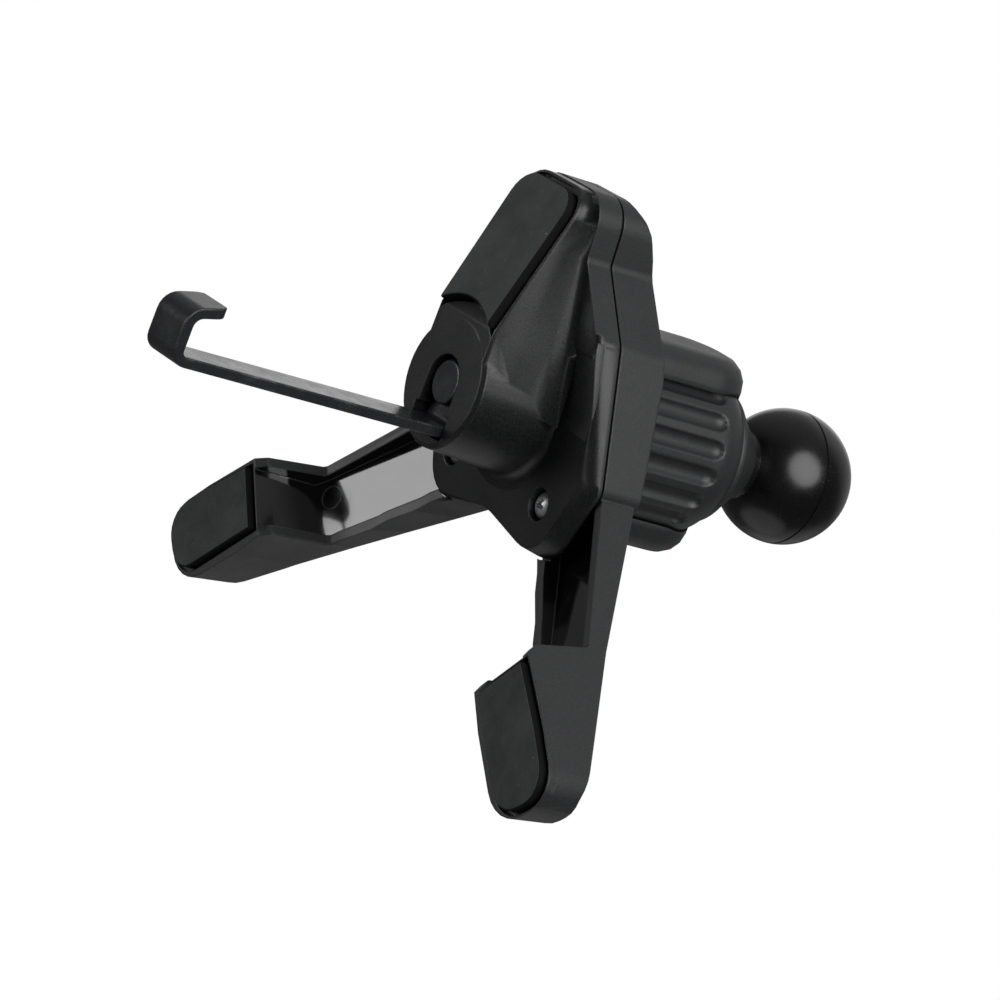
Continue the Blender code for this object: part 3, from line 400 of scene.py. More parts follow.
def polished_abs(sizes, colours):
    """Black ABS from a polished mould: deep black with clear reflections, hair scratches and dust, and edges
    painted lighter: a painted highlight along the rims, with a little edge wear.
    """
    made, tree, shader, place = new_material("moulded_abs_polished",
                                             {"IOR": 1.53, "Coat Weight": 0.7, "Coat Roughness": 0.06})
    cloud = noise(tree, place, scale=160.0, detail=5.0, roughness=0.6)
    ripple = noise(tree, place, scale=420.0, detail=2.0)
    bend, edge = soft_edges(tree, sizes.edge_round)
    dust = specks(tree, place, cell=0.0016, size=0.00007, share=0.35)
    marks = scratches(tree, place, across=0.00009, along=0.0022, turn=(0.5, 0.3, 0.8), level=0.66)
    # Dust specks and the edge mask lighten the colour; at the edges this is a painted highlight along the
    # rims, with a little edge wear.
    tone = maths(tree, "MAXIMUM", dust, ramp(tree, edge, 0.0, 1.0, 0.0, 0.3))
    base = blend_colour(tree, tone, list(colours.smooth_plastic), linear("#77797a"))
    rough = maths(tree, "MULTIPLY_ADD", marks, 0.16, ramp(tree, cloud, 0.3, 0.75, 0.08, 0.16))
    dress(tree, shader, base, rough, bumps(tree, ripple, 0.12, 0.0001, bend))
    return made


def polished_ball(colours):
    """Black acetal, turned bright in the mould: near-mirror gloss, a faint orange peel and sliding marks."""
    made, tree, shader, place = new_material("moulded_acetal_glossy", {"IOR": 1.48})
    peel = noise(tree, place, scale=700.0, detail=2.0)
    cloud = noise(tree, place, scale=190.0, detail=6.0, roughness=0.65)
    marks = scratches(tree, place, across=0.00012, along=0.0016, turn=(0.2, 0.9, 0.4), level=0.62)
    tone = ramp(tree, marks, 0.0, 1.0, 0.0, 0.25)
    base = blend_colour(tree, tone, list(colours.ball_plastic), linear("#3a3b3c"))
    rough = maths(tree, "MULTIPLY_ADD", marks, 0.12, ramp(tree, cloud, 0.3, 0.75, 0.2, 0.3))
    dress(tree, shader, base, rough, bumps(tree, peel, 0.1, 0.00008))
    return made


def pad_rubber(colours):
    """Moulded silicone rubber: matt and slightly grey, holding pale dust and a few rubbed lighter places."""
    made, tree, shader, place = new_material("moulded_silicone_rubber", {"IOR": 1.42})
    # The mould's fine blasting is about 0.08 mm; it is drawn at 0.14 mm so that it shows.
    grain = noise(tree, place, scale=7000.0, detail=2.0)
    cloud = noise(tree, place, scale=130.0, detail=6.0, roughness=0.7)
    large = specks(tree, place, cell=0.0019, size=0.00011, share=0.35)
    small = specks(tree, place, cell=0.0007, size=0.00005, share=0.3)
    rubbed = ramp(tree, cloud, 0.35, 0.75, 0.0, 0.12)
    tone = maths(tree, "MAXIMUM", maths(tree, "MAXIMUM", large, small), rubbed)
    base = blend_colour(tree, tone, list(colours.rubber), linear("#a8aaab"))
    dress(tree, shader, base, ramp(tree, cloud, 0.3, 0.7, 0.55, 0.72), bumps(tree, grain, 0.4, 0.00003))
    return made


def rubber_painted_shade():
    """The pads' side walls: the same rubber without the dust, painted near black with a weaker gloss, as
    painted shade for the dark gap round each pad.
    """
    made, tree, shader, place = new_material("moulded_silicone_rubber_painted_shade",
                                             {"IOR": 1.42, "Specular IOR Level": 0.2})
    cloud = noise(tree, place, scale=800.0, detail=3.0)
    # Near-black colour: painted shade on the pads' sides.
    base = blend_colour(tree, ramp(tree, cloud, 0.3, 0.7), linear("#060606"), linear("#0e0e0f"))
    dress(tree, shader, base, ramp(tree, cloud, 0.3, 0.7, 0.7, 0.85))
    return made


def coated_steel(sizes, colours):
    """Stamped steel with a black electro-coat: it mirrors at a low angle and is rubbed through at edges."""
    made, tree, shader, place = new_material("black_coated_steel_strip", {})
    cloud = noise(tree, place, scale=230.0, detail=7.0, roughness=0.7)
    fine = noise(tree, place, scale=2300.0, detail=4.0, roughness=0.6)
    bend, edge = soft_edges(tree, sizes.strip_round * STRIP_WEAR)
    lines = scratches(tree, place, across=0.00013, along=0.003, turn=(0.0, 0.0, 0.0), level=0.6)
    crossing = scratches(tree, place, across=0.00011, along=0.0018, turn=(0.0, 0.0, 1.1), level=0.66)
    rubbed = times(tree, edge, ramp(tree, cloud, 0.46, 0.62, 0.0, 0.9))
    worn = ramp(tree, cloud, 0.5, 0.66, 0.0, 0.7)
    cuts = times(tree, maths(tree, "MAXIMUM", lines, crossing), worn)
    bare = maths(tree, "MAXIMUM", rubbed, cuts)
    base = blend_colour(tree, bare, list(colours.coat), list(colours.bare_steel))
    dress(tree, shader, base, ramp(tree, cloud, 0.3, 0.75, 0.2, 0.38), bumps(tree, fine, 0.2, 0.00004, bend))
    tree.links.new(ramp(tree, bare, 0.0, 1.0, 0.35, 1.0), shader.inputs["Metallic"])
    return made


def zinc_plate(colours):
    """Bright zinc plate on cold-headed steel: pale grey, softly mirrored, with faint tumbling marks."""
    made, tree, shader, place = new_material("zinc_plated_steel", {"Metallic": 1.0})
    cloud = noise(tree, place, scale=900.0, detail=5.0)
    base = blend_colour(tree, ramp(tree, cloud, 0.35, 0.7), list(colours.zinc), linear("#b4b6b8"))
    dress(tree, shader, base, ramp(tree, cloud, 0.3, 0.7, 0.3, 0.5), bumps(tree, cloud, 0.25, 0.00003))
    return made


def studio_paper(colours):
    """Matt studio paper: pale, with only a faint fibre in its tone."""
    made, tree, shader, place = new_material("matt_studio_paper", {"Roughness": 0.9})
    fibre = noise(tree, place, scale=60.0, detail=4.0)
    base = blend_colour(tree, ramp(tree, fibre, 0.3, 0.7, 0.0, 0.3), list(colours.floor), linear("#dfdfdf"))
    tree.links.new(base, shader.inputs["Base Color"])
    return made


finishes = {}


def finish(name):
    """One of the finishes, made once from the scene's settings."""
    if name not in finishes:
        sizes = bpy.context.scene.vent_clip_sizes
        colours = bpy.context.scene.vent_clip_colours
        makers = {
            "textured": lambda: textured_abs("moulded_abs_spark_texture", sizes, colours.textured_plastic,
                                             depth=0.5, least=0.42, most=0.54),
            "satin": lambda: textured_abs("moulded_abs_fine_texture", sizes, colours.cover_plastic,
                                          depth=0.25, least=0.29, most=0.37, gloss=0.36),
            "polished": lambda: polished_abs(sizes, colours),
            "ball": lambda: polished_ball(colours),
            "rubber": lambda: pad_rubber(colours),
            # The pads' sides in near-black rubber: painted shade.
            "rubber painted shade": rubber_painted_shade,
            "coat": lambda: coated_steel(sizes, colours),
            "zinc": lambda: zinc_plate(colours),
            "paper": lambda: studio_paper(colours),
        }
        finishes[name] = makers[name]()
    return finishes[name]


# Meshes
def new_piece(bm, name, made, angle=SHARP_ANGLE):
    """A finished mesh as an object at the origin, smooth but for its sharp edges."""
    mesh = bpy.data.meshes.new(name)
    bm.to_mesh(mesh)
    bm.free()
    mesh.shade_smooth()
    mesh.set_sharp_from_angle(angle=math.radians(angle))
    piece = bpy.data.objects.new(name, mesh)
    bpy.context.scene.collection.objects.link(piece)
    mesh.materials.append(made)
    return piece


def even_normals(piece):
    """Keep the light flat on wide faces, and let the narrow faces between them take the bend."""
    step = piece.modifiers.new("even", "WEIGHTED_NORMAL")
    step.keep_sharp = True
    step.weight = EVEN_WEIGHT
    plain_mesh(piece)


def joined_copy(node_name):
    """A solid's mesh with its loose triangles joined and its flat faces whole."""
    bm = bmesh.new()
    bm.from_mesh(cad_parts[node_name].data)
    bmesh.ops.remove_doubles(bm, verts=bm.verts, dist=SOLID_WELD)
    bmesh.ops.dissolve_limit(bm, angle_limit=FLAT_ANGLE, verts=bm.verts, edges=bm.edges)
    return bm


def round_edges(piece, width, segments=3, angle=40.0, sharp_angle=50.0):
    """Real rounding on the edges of a simple piece."""
    bevel = piece.modifiers.new("rounding", "BEVEL")
    bevel.width = width
    bevel.segments = segments
    bevel.limit_method = "ANGLE"
    bevel.angle_limit = math.radians(angle)
    kept = plain_mesh(piece)
    kept.shade_smooth()
    kept.set_sharp_from_angle(angle=math.radians(sharp_angle))
    even_normals(piece)


def plain_mesh(piece):
    """Turn a piece's modifiers into a plain mesh and take them off."""
    graph = bpy.context.evaluated_depsgraph_get()
    made = bpy.data.meshes.new_from_object(piece.evaluated_get(graph))
    piece.modifiers.clear()
    piece.data = made
    return made


def hand_over(piece, body, slot, *nodes):
    """Let a piece ride on its body in place of the solids it stands for."""
    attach(piece, body)
    if nodes:
        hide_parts(*nodes)


def spin_profile(bm, profile, steps):
    """Turn a profile of (radius, y) points about the rod's axis."""
    lines = []
    for step in range(steps):
        turn = Matrix.Rotation(2 * math.pi * step / steps, 3, "Y")
        lines.append([bm.verts.new(turn @ Vector((radius, y, 0.0))) for radius, y in profile])
    for near, far in zip(lines, lines[1:] + lines[:1]):
        for corners in zip(near, near[1:], far[1:], far):
            bm.faces.new(corners)


def close_turned(bm):
    """Join a turned shape's seam and face it outwards."""
    bmesh.ops.remove_doubles(bm, verts=bm.verts, dist=TURNED_WELD)
    bmesh.ops.recalc_face_normals(bm, faces=bm.faces)


def lathe(profile, name, made, steps, angle=SHARP_ANGLE):
    """A closed shape turned about the rod's axis; the profile holds (radius, y)."""
    bm = bmesh.new()
    spin_profile(bm, profile, steps)
    close_turned(bm)
    return new_piece(bm, name, made, angle)


def arc(centre, radius, start, end, steps):
    """Points (radius, y) on an arc about the axis; angles in degrees, zero outwards and 90 to the back."""
    angles = [math.radians(start + (end - start) * step / steps) for step in range(steps + 1)]
    return [(radius * math.cos(angle), centre + radius * math.sin(angle)) for angle in angles]


# Geometry node trees
def node_tree(name, inputs):
    """A geometry tree with its inputs, each a number or a kind of socket, and its result's socket."""
    tree = bpy.data.node_groups.new(name, "GeometryNodeTree")
    tree.interface.new_socket("Geometry", in_out="OUTPUT", socket_type="NodeSocketGeometry")
    number_kinds = {float: "Float", int: "Int"}
    for label, value in inputs.items():
        kind = number_kinds.get(type(value), value)
        socket = tree.interface.new_socket(label, in_out="INPUT", socket_type="NodeSocket" + kind)
        if kind != value:
            socket.default_value = value
    return tree, add(tree, "NodeGroupInput").outputs, add(tree, "NodeGroupOutput").inputs["Geometry"]


def run_tree(tree, name, settings, base=None):
    """Run a geometry tree on a fresh object and keep the result as a plain mesh."""
    mesh = base or bpy.data.meshes.new(name)
    piece = bpy.data.objects.new(name, mesh)
    bpy.context.scene.collection.objects.link(piece)
    step = piece.modifiers.new("rule", "NODES")
    step.node_group = tree
    for item in tree.interface.items_tree:
        if item.in_out == "INPUT" and item.name in settings:
            step[item.identifier] = settings[item.name]
    plain_mesh(piece)
    return piece


def wrap_grid(tree, rows, columns):
    """A flat grid, and its fields of the share along the rod and the angle about it."""
    counts = {"Vertices X": rows, "Vertices Y": columns}
    grid = add(tree, "GeometryNodeMeshGrid", {"Size X": 1.0, "Size Y": 1.0}, counts)
    position = add(tree, "GeometryNodeInputPosition").outputs["Position"]
    place = add(tree, "ShaderNodeSeparateXYZ", None, {0: position})
    share = maths(tree, "ADD", place.outputs["X"], 0.5)
    angle = times(tree, maths(tree, "ADD", place.outputs["Y"], 0.5), 2 * math.pi)
    return grid.outputs["Mesh"], share, angle


def shaped(tree, kind, settings, links):
    """A geometry node's result."""
    return add(tree, kind, settings, links).outputs["Geometry"]


def wrap_round(tree, mesh, radius, along, angle, material):
    """Wrap a grid about the rod's axis by radius, place along it and angle, and close it."""
    x = times(tree, radius, maths(tree, "COSINE", angle))
    z = times(tree, radius, maths(tree, "SINE", angle))
    point = add(tree, "ShaderNodeCombineXYZ", None, {0: x, 1: along, 2: z}).outputs["Vector"]
    moved = shaped(tree, "GeometryNodeSetPosition", None, {"Geometry": mesh, "Position": point})
    welded = shaped(tree, "GeometryNodeMergeByDistance", {"Distance": WRAPPED_WELD}, {"Geometry": moved})
    smooth = shaped(tree, "GeometryNodeSetShadeSmooth", None, {"Geometry": welded})
    real = shaped(tree, "GeometryNodeRealizeInstances", None, {"Geometry": smooth})
    return shaped(tree, "GeometryNodeSetMaterial", None, {"Geometry": real, "Material": material})


def fraction(tree, value):
    """How far a value stands past a whole number, for values down to minus TURNS_BELOW."""
    return maths(tree, "FRACT", maths(tree, "ADD", value, TURNS_BELOW))


def pick(tree, where, elsewhere, there):
    """One number where a condition holds and another elsewhere."""
    return add(tree, "ShaderNodeMix", {"data_type": "FLOAT"}, {0: where, 2: elsewhere, 3: there}).outputs[0]


def fluted_nut_tree():
    """The nut: a cylinder that domes at its back, with grooves whose ends fade into the dome."""
    tree, given, out = node_tree("fluted_nut", {
        "Front": 0.0,
        "Rear": 0.018,
        "Radius": 0.011,
        "Bore": 0.0032,
        "Dome Length": 0.0043,
        "Dome Radius": 0.005,
        "Flutes": 20,
        "Flute Width": 0.0021,
        "Flute Depth": 0.0007,
        "Flute End": 0.012,
        "Flute Turn": 0.0,
        "Rows": 90,
        "Columns": 361,
        "Material": "Material",
    })
    grid, share, angle = wrap_grid(tree, given["Rows"], given["Columns"])
    last = minus(tree, given["Rows"], 1.0)
    row = maths(tree, "ROUND", times(tree, share, last))
    wall = add(tree, "ShaderNodeMapRange", {"From Min": 1.0},
               {"Value": row, "From Max": minus(tree, last, 2.0)}).outputs["Result"]
    length = minus(tree, given["Rear"], given["Front"])
    outer_y = maths(tree, "MULTIPLY_ADD", wall, length, given["Front"])
    dome_start = minus(tree, given["Rear"], given["Dome Length"])
    into_dome = maths(tree, "MAXIMUM", minus(tree, outer_y, dome_start), 0.0)
    square = times(tree, given["Dome Radius"], given["Dome Radius"])
    along_square = times(tree, into_dome, into_dome)
    chord = maths(tree, "SQRT", minus(tree, square, along_square))
    fall = minus(tree, given["Dome Radius"], chord)
    round_radius = minus(tree, given["Radius"], fall)

    per_flute = maths(tree, "DIVIDE", 2 * math.pi, given["Flutes"])
    count = minus(tree, maths(tree, "DIVIDE", angle, per_flute), given["Flute Turn"])
    off_centre = minus(tree, fraction(tree, maths(tree, "ADD", count, 0.5)), 0.5)
    arc_length = times(tree, times(tree, off_centre, per_flute), given["Radius"])
    half_width = times(tree, given["Flute Width"], 0.5)
    sideways = maths(tree, "DIVIDE", arc_length, half_width)
    beyond = maths(tree, "MAXIMUM", minus(tree, outer_y, given["Flute End"]), 0.0)
    lengthways = maths(tree, "DIVIDE", beyond, times(tree, half_width, FLUTE_FADE))
    away = maths(tree, "MULTIPLY_ADD", sideways, sideways, times(tree, lengthways, lengthways))
    bowl = maths(tree, "MAXIMUM", minus(tree, 1.0, away), 0.0)
    groove = times(tree, maths(tree, "POWER", bowl, FLUTE_FULLNESS), given["Flute Depth"])
    outer = minus(tree, round_radius, groove)

    at_front = maths(tree, "LESS_THAN", row, 0.5)
    at_rear = maths(tree, "GREATER_THAN", row, minus(tree, last, 1.5))
    in_bore = maths(tree, "MAXIMUM", at_front, at_rear)
    radius = pick(tree, in_bore, outer, given["Bore"])
    closing = maths(tree, "GREATER_THAN", row, minus(tree, last, 0.5))
    along = pick(tree, closing, outer_y, given["Front"])
    made = wrap_round(tree, grid, radius, along, angle, given["Material"])
    tree.links.new(made, out)
    return tree


def thread_tree():
    """A rod whose surface follows one screw thread, with plain closed ends."""
    tree, given, out = node_tree("screw_thread", {
        "Front": 0.0,
        "Rear": 0.04,
        "Radius": 0.003,
        "Pitch": 0.001,
        "Depth": 0.0005,
        "Rows": 400,
        "Columns": 41,
        "Material": "Material",
    })
    grid, share, angle = wrap_grid(tree, given["Rows"], given["Columns"])
    length = minus(tree, given["Rear"], given["Front"])
    along = maths(tree, "MULTIPLY_ADD", share, length, given["Front"])
    turns = minus(tree, maths(tree, "DIVIDE", along, given["Pitch"]),
                  maths(tree, "DIVIDE", angle, 2 * math.pi))
    flank = maths(tree, "ABSOLUTE", minus(tree, fraction(tree, turns), 0.5))
    shape = ramp(tree, flank, THREAD_CREST, THREAD_ROOT, kind="SMOOTHSTEP")
    groove = times(tree, shape, given["Depth"])
    body = minus(tree, given["Radius"], groove)
    from_end = maths(tree, "MINIMUM", share, minus(tree, 1.0, share))
    inside = maths(tree, "GREATER_THAN", times(tree, from_end, given["Rows"]), 0.5)
    radius = times(tree, body, inside)
    made = wrap_round(tree, grid, radius, along, angle, given["Material"])
    tree.links.new(made, out)
    return tree


def fastener_tree():
    """One fastener set on each point of the base mesh."""
    tree, given, out = node_tree("fasteners_on_points", {
        "Points": "Geometry",
        "Fastener": "Object",
        "Material": "Material",
    })
    spots = add(tree, "GeometryNodeMeshToPoints", None, {"Mesh": given["Points"]}).outputs["Points"]
    shape = add(tree, "GeometryNodeObjectInfo", None, {"Object": given["Fastener"]}).outputs["Geometry"]
    copies = add(tree, "GeometryNodeInstanceOnPoints", None, {"Points": spots, "Instance": shape})
    real = shaped(tree, "GeometryNodeRealizeInstances", None, {"Geometry": copies.outputs["Instances"]})
    made = shaped(tree, "GeometryNodeSetMaterial", None, {"Geometry": real, "Material": given["Material"]})
    tree.links.new(made, out)
    return tree


# Pieces
def leg_place(point):
    """A point's distance along its leg, its place across it, and the leg's side."""
    side = 1.0 if point.x > 0 else -1.0
    along = side * point.x * math.sin(LEG_ANGLE) - point.z * math.cos(LEG_ANGLE)
    across = side * point.x * math.cos(LEG_ANGLE) + point.z * math.sin(LEG_ANGLE)
    return along, across, side


def channel_floor(along):
    """Y of the floor of a leg's channel."""
    return HOUSING_BACK - LEG_BACK_SLOPE * max(0.0, along - LEG_BACK_START) - LEG_FLOOR_WALL


def in_channel(face):
    """Whether a face lies inside the channel of a leg, which the mould's core left polished."""
    centre = face.calc_center_median()
    along, across, side = leg_place(centre)
    if centre.y > HOUSING_BACK or not CHANNEL_START < along < CHANNEL_END:
        return False
    outward = Vector((side * math.cos(LEG_ANGLE), 0.0, math.sin(LEG_ANGLE)))
    rootward = Vector((-side * math.sin(LEG_ANGLE), 0.0, math.cos(LEG_ANGLE)))
    if face.normal.y < -FACES_ALONG:
        return centre.y > channel_floor(along) - CHANNEL_FLOOR_SPARE
    if face.normal.dot(rootward) > FACES_ALONG:
        return along > CHANNEL_END - CHANNEL_END_SPARE
    off_middle = across - CHANNEL_MIDDLE
    return face.normal.dot(outward) * off_middle < -FACES_ACROSS * abs(off_middle)


def on_rim_wall(face):
    """Whether a face of the cover is part of its outer wall, beside the seam."""
    centre = face.calc_center_median()
    outward = Vector((centre.x, 0.0, centre.z))
    if abs(face.normal.y) >= RIM_FLATNESS or face.normal.dot(outward) <= 0:
        return False
    return centre.y > RIM_START and outward.length > BOSS_REACH


def make_cover_ramps():
    """Two long shallow ramps that blend the cover's raised upper plate into its lower plate."""
    bm = bmesh.new()
    for side in (-1.0, 1.0):
        rows = []
        for step in range(RAMP_STEPS + 1):
            share = step / RAMP_STEPS
            z = RAMP_TOP + (RAMP_FOOT - RAMP_TOP) * share
            upper = UPPER_PLATE - PLATE_LEAN * z
            lower = LOWER_PLATE - PLATE_LEAN * z
            top = upper + (lower - upper) * share * share * (3.0 - 2.0 * share) - RAMP_SKIN
            edge = (WALL_EDGE - WALL_LEAN * z) * (1.0 - share ** 2) + (RIM_EDGE - RIM_LEAN * z) * share ** 2
            corner = EDGE_CORNER * EDGE_TURN
            line = [(RAMP_ROOT, lower + RAMP_SINK), (RAMP_ROOT, top), (edge - EDGE_TURN, top)]
            line += [(edge - corner, top + corner), (edge, top + EDGE_TURN)]
            line.append((edge, lower + EDGE_TURN + RAMP_SINK))
            rows.append([bm.verts.new((side * x, y, z)) for x, y in line])
        for near, far in zip(rows, rows[1:]):
            for index in range(len(near)):
                after = (index + 1) % len(near)
                bm.faces.new((near[index], near[after], far[after], far[index]))
        bm.faces.new(rows[0])
        bm.faces.new(rows[-1])
    bmesh.ops.recalc_face_normals(bm, faces=bm.faces)
    ramps = new_piece(bm, "cover_ramps", finish("satin"))
    hand_over(ramps, "base", "matt_plastic")


def make_moulding(name, main_finish, other_finish, is_other, angle=SHARP_ANGLE):
    """A moulded solid in one finish, with another on the faces that a rule picks."""
    bm = joined_copy(name)
    for face in bm.faces:
        face.material_index = 1 if is_other(face) else 0
    piece = new_piece(bm, name + "_skin", finish(main_finish), angle)
    piece.data.materials.append(finish(other_finish))
    even_normals(piece)
    hand_over(piece, "base", "matt_plastic", name)


def make_housings():
    """The cover and the housing, textured outside and polished in the leg channels."""
    make_moulding("front_cover", "satin", "textured", on_rim_wall, COVER_SHARP_ANGLE)
    make_cover_ramps()
    make_moulding("rear_housing", "textured", "polished", in_channel)


def make_ejector_marks(sizes):
    """The round marks that the mould's pins leave on the floors of the two channels."""
    radius = sizes.mark_radius
    raised = -MARK_RISE - MARK_SINK
    profile = [(0.0, -MARK_SINK), (radius - 2 * MARK_RIM, -MARK_SINK)]
    profile += [(radius - MARK_RIM, raised), (radius, raised), (radius + MARK_SKIRT, 0.0)]
    bm = bmesh.new()
    for side in (-1.0, 1.0):
        spin_profile(bm, profile, MARK_STEPS)
        fresh = [vert for vert in bm.verts if not vert.tag]
        spot = Matrix.Translation((side * MARK_ACROSS, channel_floor(MARK_ALONG), -MARK_ALONG))
        lean = Matrix.Rotation(-math.atan(LEG_BACK_SLOPE), 4, "X")
        bmesh.ops.transform(bm, matrix=Matrix.Rotation(-side * LEG_ANGLE, 4, "Y") @ spot @ lean, verts=fresh)
        for vert in fresh:
            vert.tag = True
    close_turned(bm)
    marks = new_piece(bm, "ejector_marks", finish("polished"))
    hand_over(marks, "base", "matt_plastic")


def shrink_outline(pad, gap):
    """Draw a pad's outline in by a gap, as moulded rubber shrinks in its seat."""
    verts = pad.data.vertices
    middle = sum((vert.co for vert in verts), Vector()) / len(verts)
    reach = max((vert.co - middle).length for vert in verts)
    for vert in verts:
        out = vert.co - middle
        out.y = 0.0
        fullness = PAD_LEAST_SHRINK + (1.0 - PAD_LEAST_SHRINK) * out.length / reach
        vert.co -= out * min(1.0, gap / max(out.length, gap)) * fullness


def make_pads(sizes):
    """The three rubber pads with rounded rims."""
    for name in ("finger_pad", "left_leg_pad", "right_leg_pad"):
        pad = new_piece(joined_copy(name), name + "_skin", finish("rubber"))
        shrink_outline(pad, sizes.pad_gap)
        round_edges(pad, sizes.pad_round)
        # Faces that do not face the front take the near-black rubber: painted shade for the gap round each
        # pad.
        pad.data.materials.append(finish("rubber painted shade"))
        for face in pad.data.polygons:
            face.material_index = 0 if face.normal.y < -PAD_FRONT_FACING else 1
        hand_over(pad, "base", "pad_rubber", name)


def make_hook(sizes):
    """The stamped strip with its edges rounded, and the rivet that holds it to the rod."""
    for name in ("hook", "hook_rivet"):
        piece = new_piece(joined_copy(name), name + "_skin", finish("coat"))
        round_edges(piece, sizes.strip_round)
        hand_over(piece, "drawbar", "coated_steel", name)


def make_nut(sizes):
    """The tightening nut, its flutes laid out by a rule."""
    radius = (NUT_HIGH.x - NUT_LOW.x) / 2
    drop = radius - NUT_REAR_RADIUS
    nut = run_tree(fluted_nut_tree(), "tightening_nut_skin", {
        "Front": NUT_LOW.y,
        "Rear": NUT_HIGH.y,
        "Radius": radius,
        "Bore": (ROD_HIGH.x - ROD_LOW.x) / 2 + NUT_CLEARANCE,
        "Dome Length": NUT_DOME,
        "Dome Radius": (NUT_DOME ** 2 + drop ** 2) / (2 * drop),
        "Flutes": sizes.flutes,
        "Flute Width": sizes.flute_width,
        "Flute Depth": sizes.flute_depth,
        "Flute End": NUT_HIGH.y - NUT_DOME - FLUTE_STOP,
        "Flute Turn": sizes.flute_turn,
        "Rows": NUT_ROWS,
        "Columns": FLUTE_COLUMNS * sizes.flutes + 1,
        "Material": finish("textured"),
    })
    nut.data.set_sharp_from_angle(angle=math.radians(NUT_SHARP_ANGLE))
    hand_over(nut, "nut", "matt_plastic", "tightening_nut")


def make_rod(sizes):
    """The threaded rod by its rule, and the plain zinc-plated washer and hexagon nut."""
    pitches = (ROD_HIGH.y - ROD_LOW.y) / sizes.thread_pitch
    rod = run_tree(thread_tree(), "threaded_rod_skin", {
        "Front": ROD_LOW.y,
        "Rear": ROD_HIGH.y,
        "Radius": (ROD_HIGH.x - ROD_LOW.x) / 2,
        "Pitch": sizes.thread_pitch,
        "Depth": sizes.thread_depth,
        "Rows": int(ROWS_PER_PITCH * pitches),
        "Columns": ROD_COLUMNS,
        "Material": finish("zinc"),
    })
    hand_over(rod, "drawbar", "zinc_steel", "threaded_rod")
    for name in ("hex_nut", "thrust_washer"):
        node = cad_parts[name]
        node.data.materials.clear()
        node.data.materials.append(finish("zinc"))


def make_ball(sizes):
    """The ball on its neck and collar, with the mould's parting line and the mark of its gate."""
    radius = sizes.ball_diameter / 2
    centre = BALL_HIGH.y - radius
    crown = centre + radius
    line_radius = radius - sizes.parting_groove
    meets = math.degrees(math.acos(NECK_RADIUS / radius))
    profile = [(0.0, crown - GATE_DEPTH), (GATE_RADIUS, crown - GATE_DEPTH), (GATE_MOUTH, crown - GATE_LIP)]
    profile += arc(centre, radius, GATE_ANGLE, PARTING_ANGLE, BACK_ARC_STEPS)
    profile += [(line_radius, centre + PARTING_HALF_WIDTH), (line_radius, centre - PARTING_HALF_WIDTH)]
    profile += arc(centre, radius, -PARTING_ANGLE, -meets, FRONT_ARC_STEPS)
    cone_end = profile[-1][1] - NECK_LENGTH
    cone_start = BALL_LOW.y + COLLAR_BAND
    collar = (BALL_HIGH.x - BALL_LOW.x) / 2
    foot = NECK_RADIUS + NECK_CHAMFER
    profile += [(NECK_RADIUS, cone_end + NECK_CHAMFER), (foot, cone_end)]
    for step in range(1, CONE_STEPS + 1):
        share = step / CONE_STEPS
        reach = foot + (collar - foot) * share ** CONE_HOLLOW
        profile.append((reach, cone_end + (cone_start - cone_end) * share))
    profile += [(collar, BALL_LOW.y + COLLAR_CHAMFER), (collar - COLLAR_CHAMFER, BALL_LOW.y)]
    profile.append((0.0, BALL_LOW.y))
    ball = lathe(profile, "ball_stud_skin", finish("ball"), BALL_STEPS, BALL_SHARP_ANGLE)
    ball.data.materials.append(finish("textured"))
    for face in ball.data.polygons:
        face.material_index = 1 if face.center.y < cone_end else 0
    hand_over(ball, "drawbar", "glossy_plastic", "ball_stud")


def recess_blade(radius, head, turn):
    """A wedge that cuts one slot of a cross recess, wider at the mouth than at the floor."""
    bm = bmesh.new()
    blade = bmesh.ops.create_cube(bm, size=1.0)["verts"]
    for vert in blade:
        width, height = RECESS_FLOOR if vert.co.y > 0 else RECESS_MOUTH
        vert.co = Vector((vert.co.x * radius * width, -head * height, vert.co.z * radius * RECESS_WIDTH))
    bmesh.ops.rotate(bm, verts=blade, cent=(0.0, 0.0, 0.0), matrix=Matrix.Rotation(turn, 3, "Y"))
    return new_piece(bm, "recess_cutter", finish("zinc"))


def cross_screw(radius, head, length):
    """A pan-head screw with a cross recess, its head's seat at the origin and its point towards +Y."""
    dome = arc(0.0, radius, 0.0, 90.0, SCREW_ARC_STEPS)
    shank = radius * SHANK_SHARE
    profile = [(0.0, -head)]
    profile += [(r, -head * (y / radius)) for r, y in reversed(dome)][1:]
    profile += [(shank, 0.0), (shank, length * POINT_START), (0.0, length)]
    screw = lathe(profile, "cross_screw", finish("zinc"), SCREW_STEPS)
    for turn in (0.0, math.pi / 2):
        cutter = recess_blade(radius, head, turn + RECESS_TURN)
        cut = screw.modifiers.new("recess", "BOOLEAN")
        cut.operation = "DIFFERENCE"
        cut.solver = "EXACT"
        cut.object = cutter
        plain_mesh(screw)
        bpy.data.objects.remove(cutter, do_unlink=True)
    return screw


def make_screws():
    """The three cover screws, one set on each screw's place."""
    names = ("left_cover_screw", "right_cover_screw", "finger_cover_screw")
    boxes = [node_box(name) for name in names]
    low, high = boxes[0]
    screw = cross_screw((high.x - low.x) / 2, SCREW_HEAD, high.y - low.y - SCREW_HEAD)
    spots = bpy.data.meshes.new("screw_places")
    seat = SCREW_HEAD - SCREW_LIFT
    spots.from_pydata([((a.x + b.x) / 2, a.y + seat, (a.z + b.z) / 2) for a, b in boxes], [], [])
    screws = run_tree(fastener_tree(), "cover_screws", {"Fastener": screw, "Material": finish("zinc")}, spots)
    bpy.data.objects.remove(screw, do_unlink=True)
    screws.data.shade_smooth()
    screws.data.set_sharp_from_angle(angle=math.radians(SHARP_ANGLE))
    hand_over(screws, "base", "zinc_steel", *names)


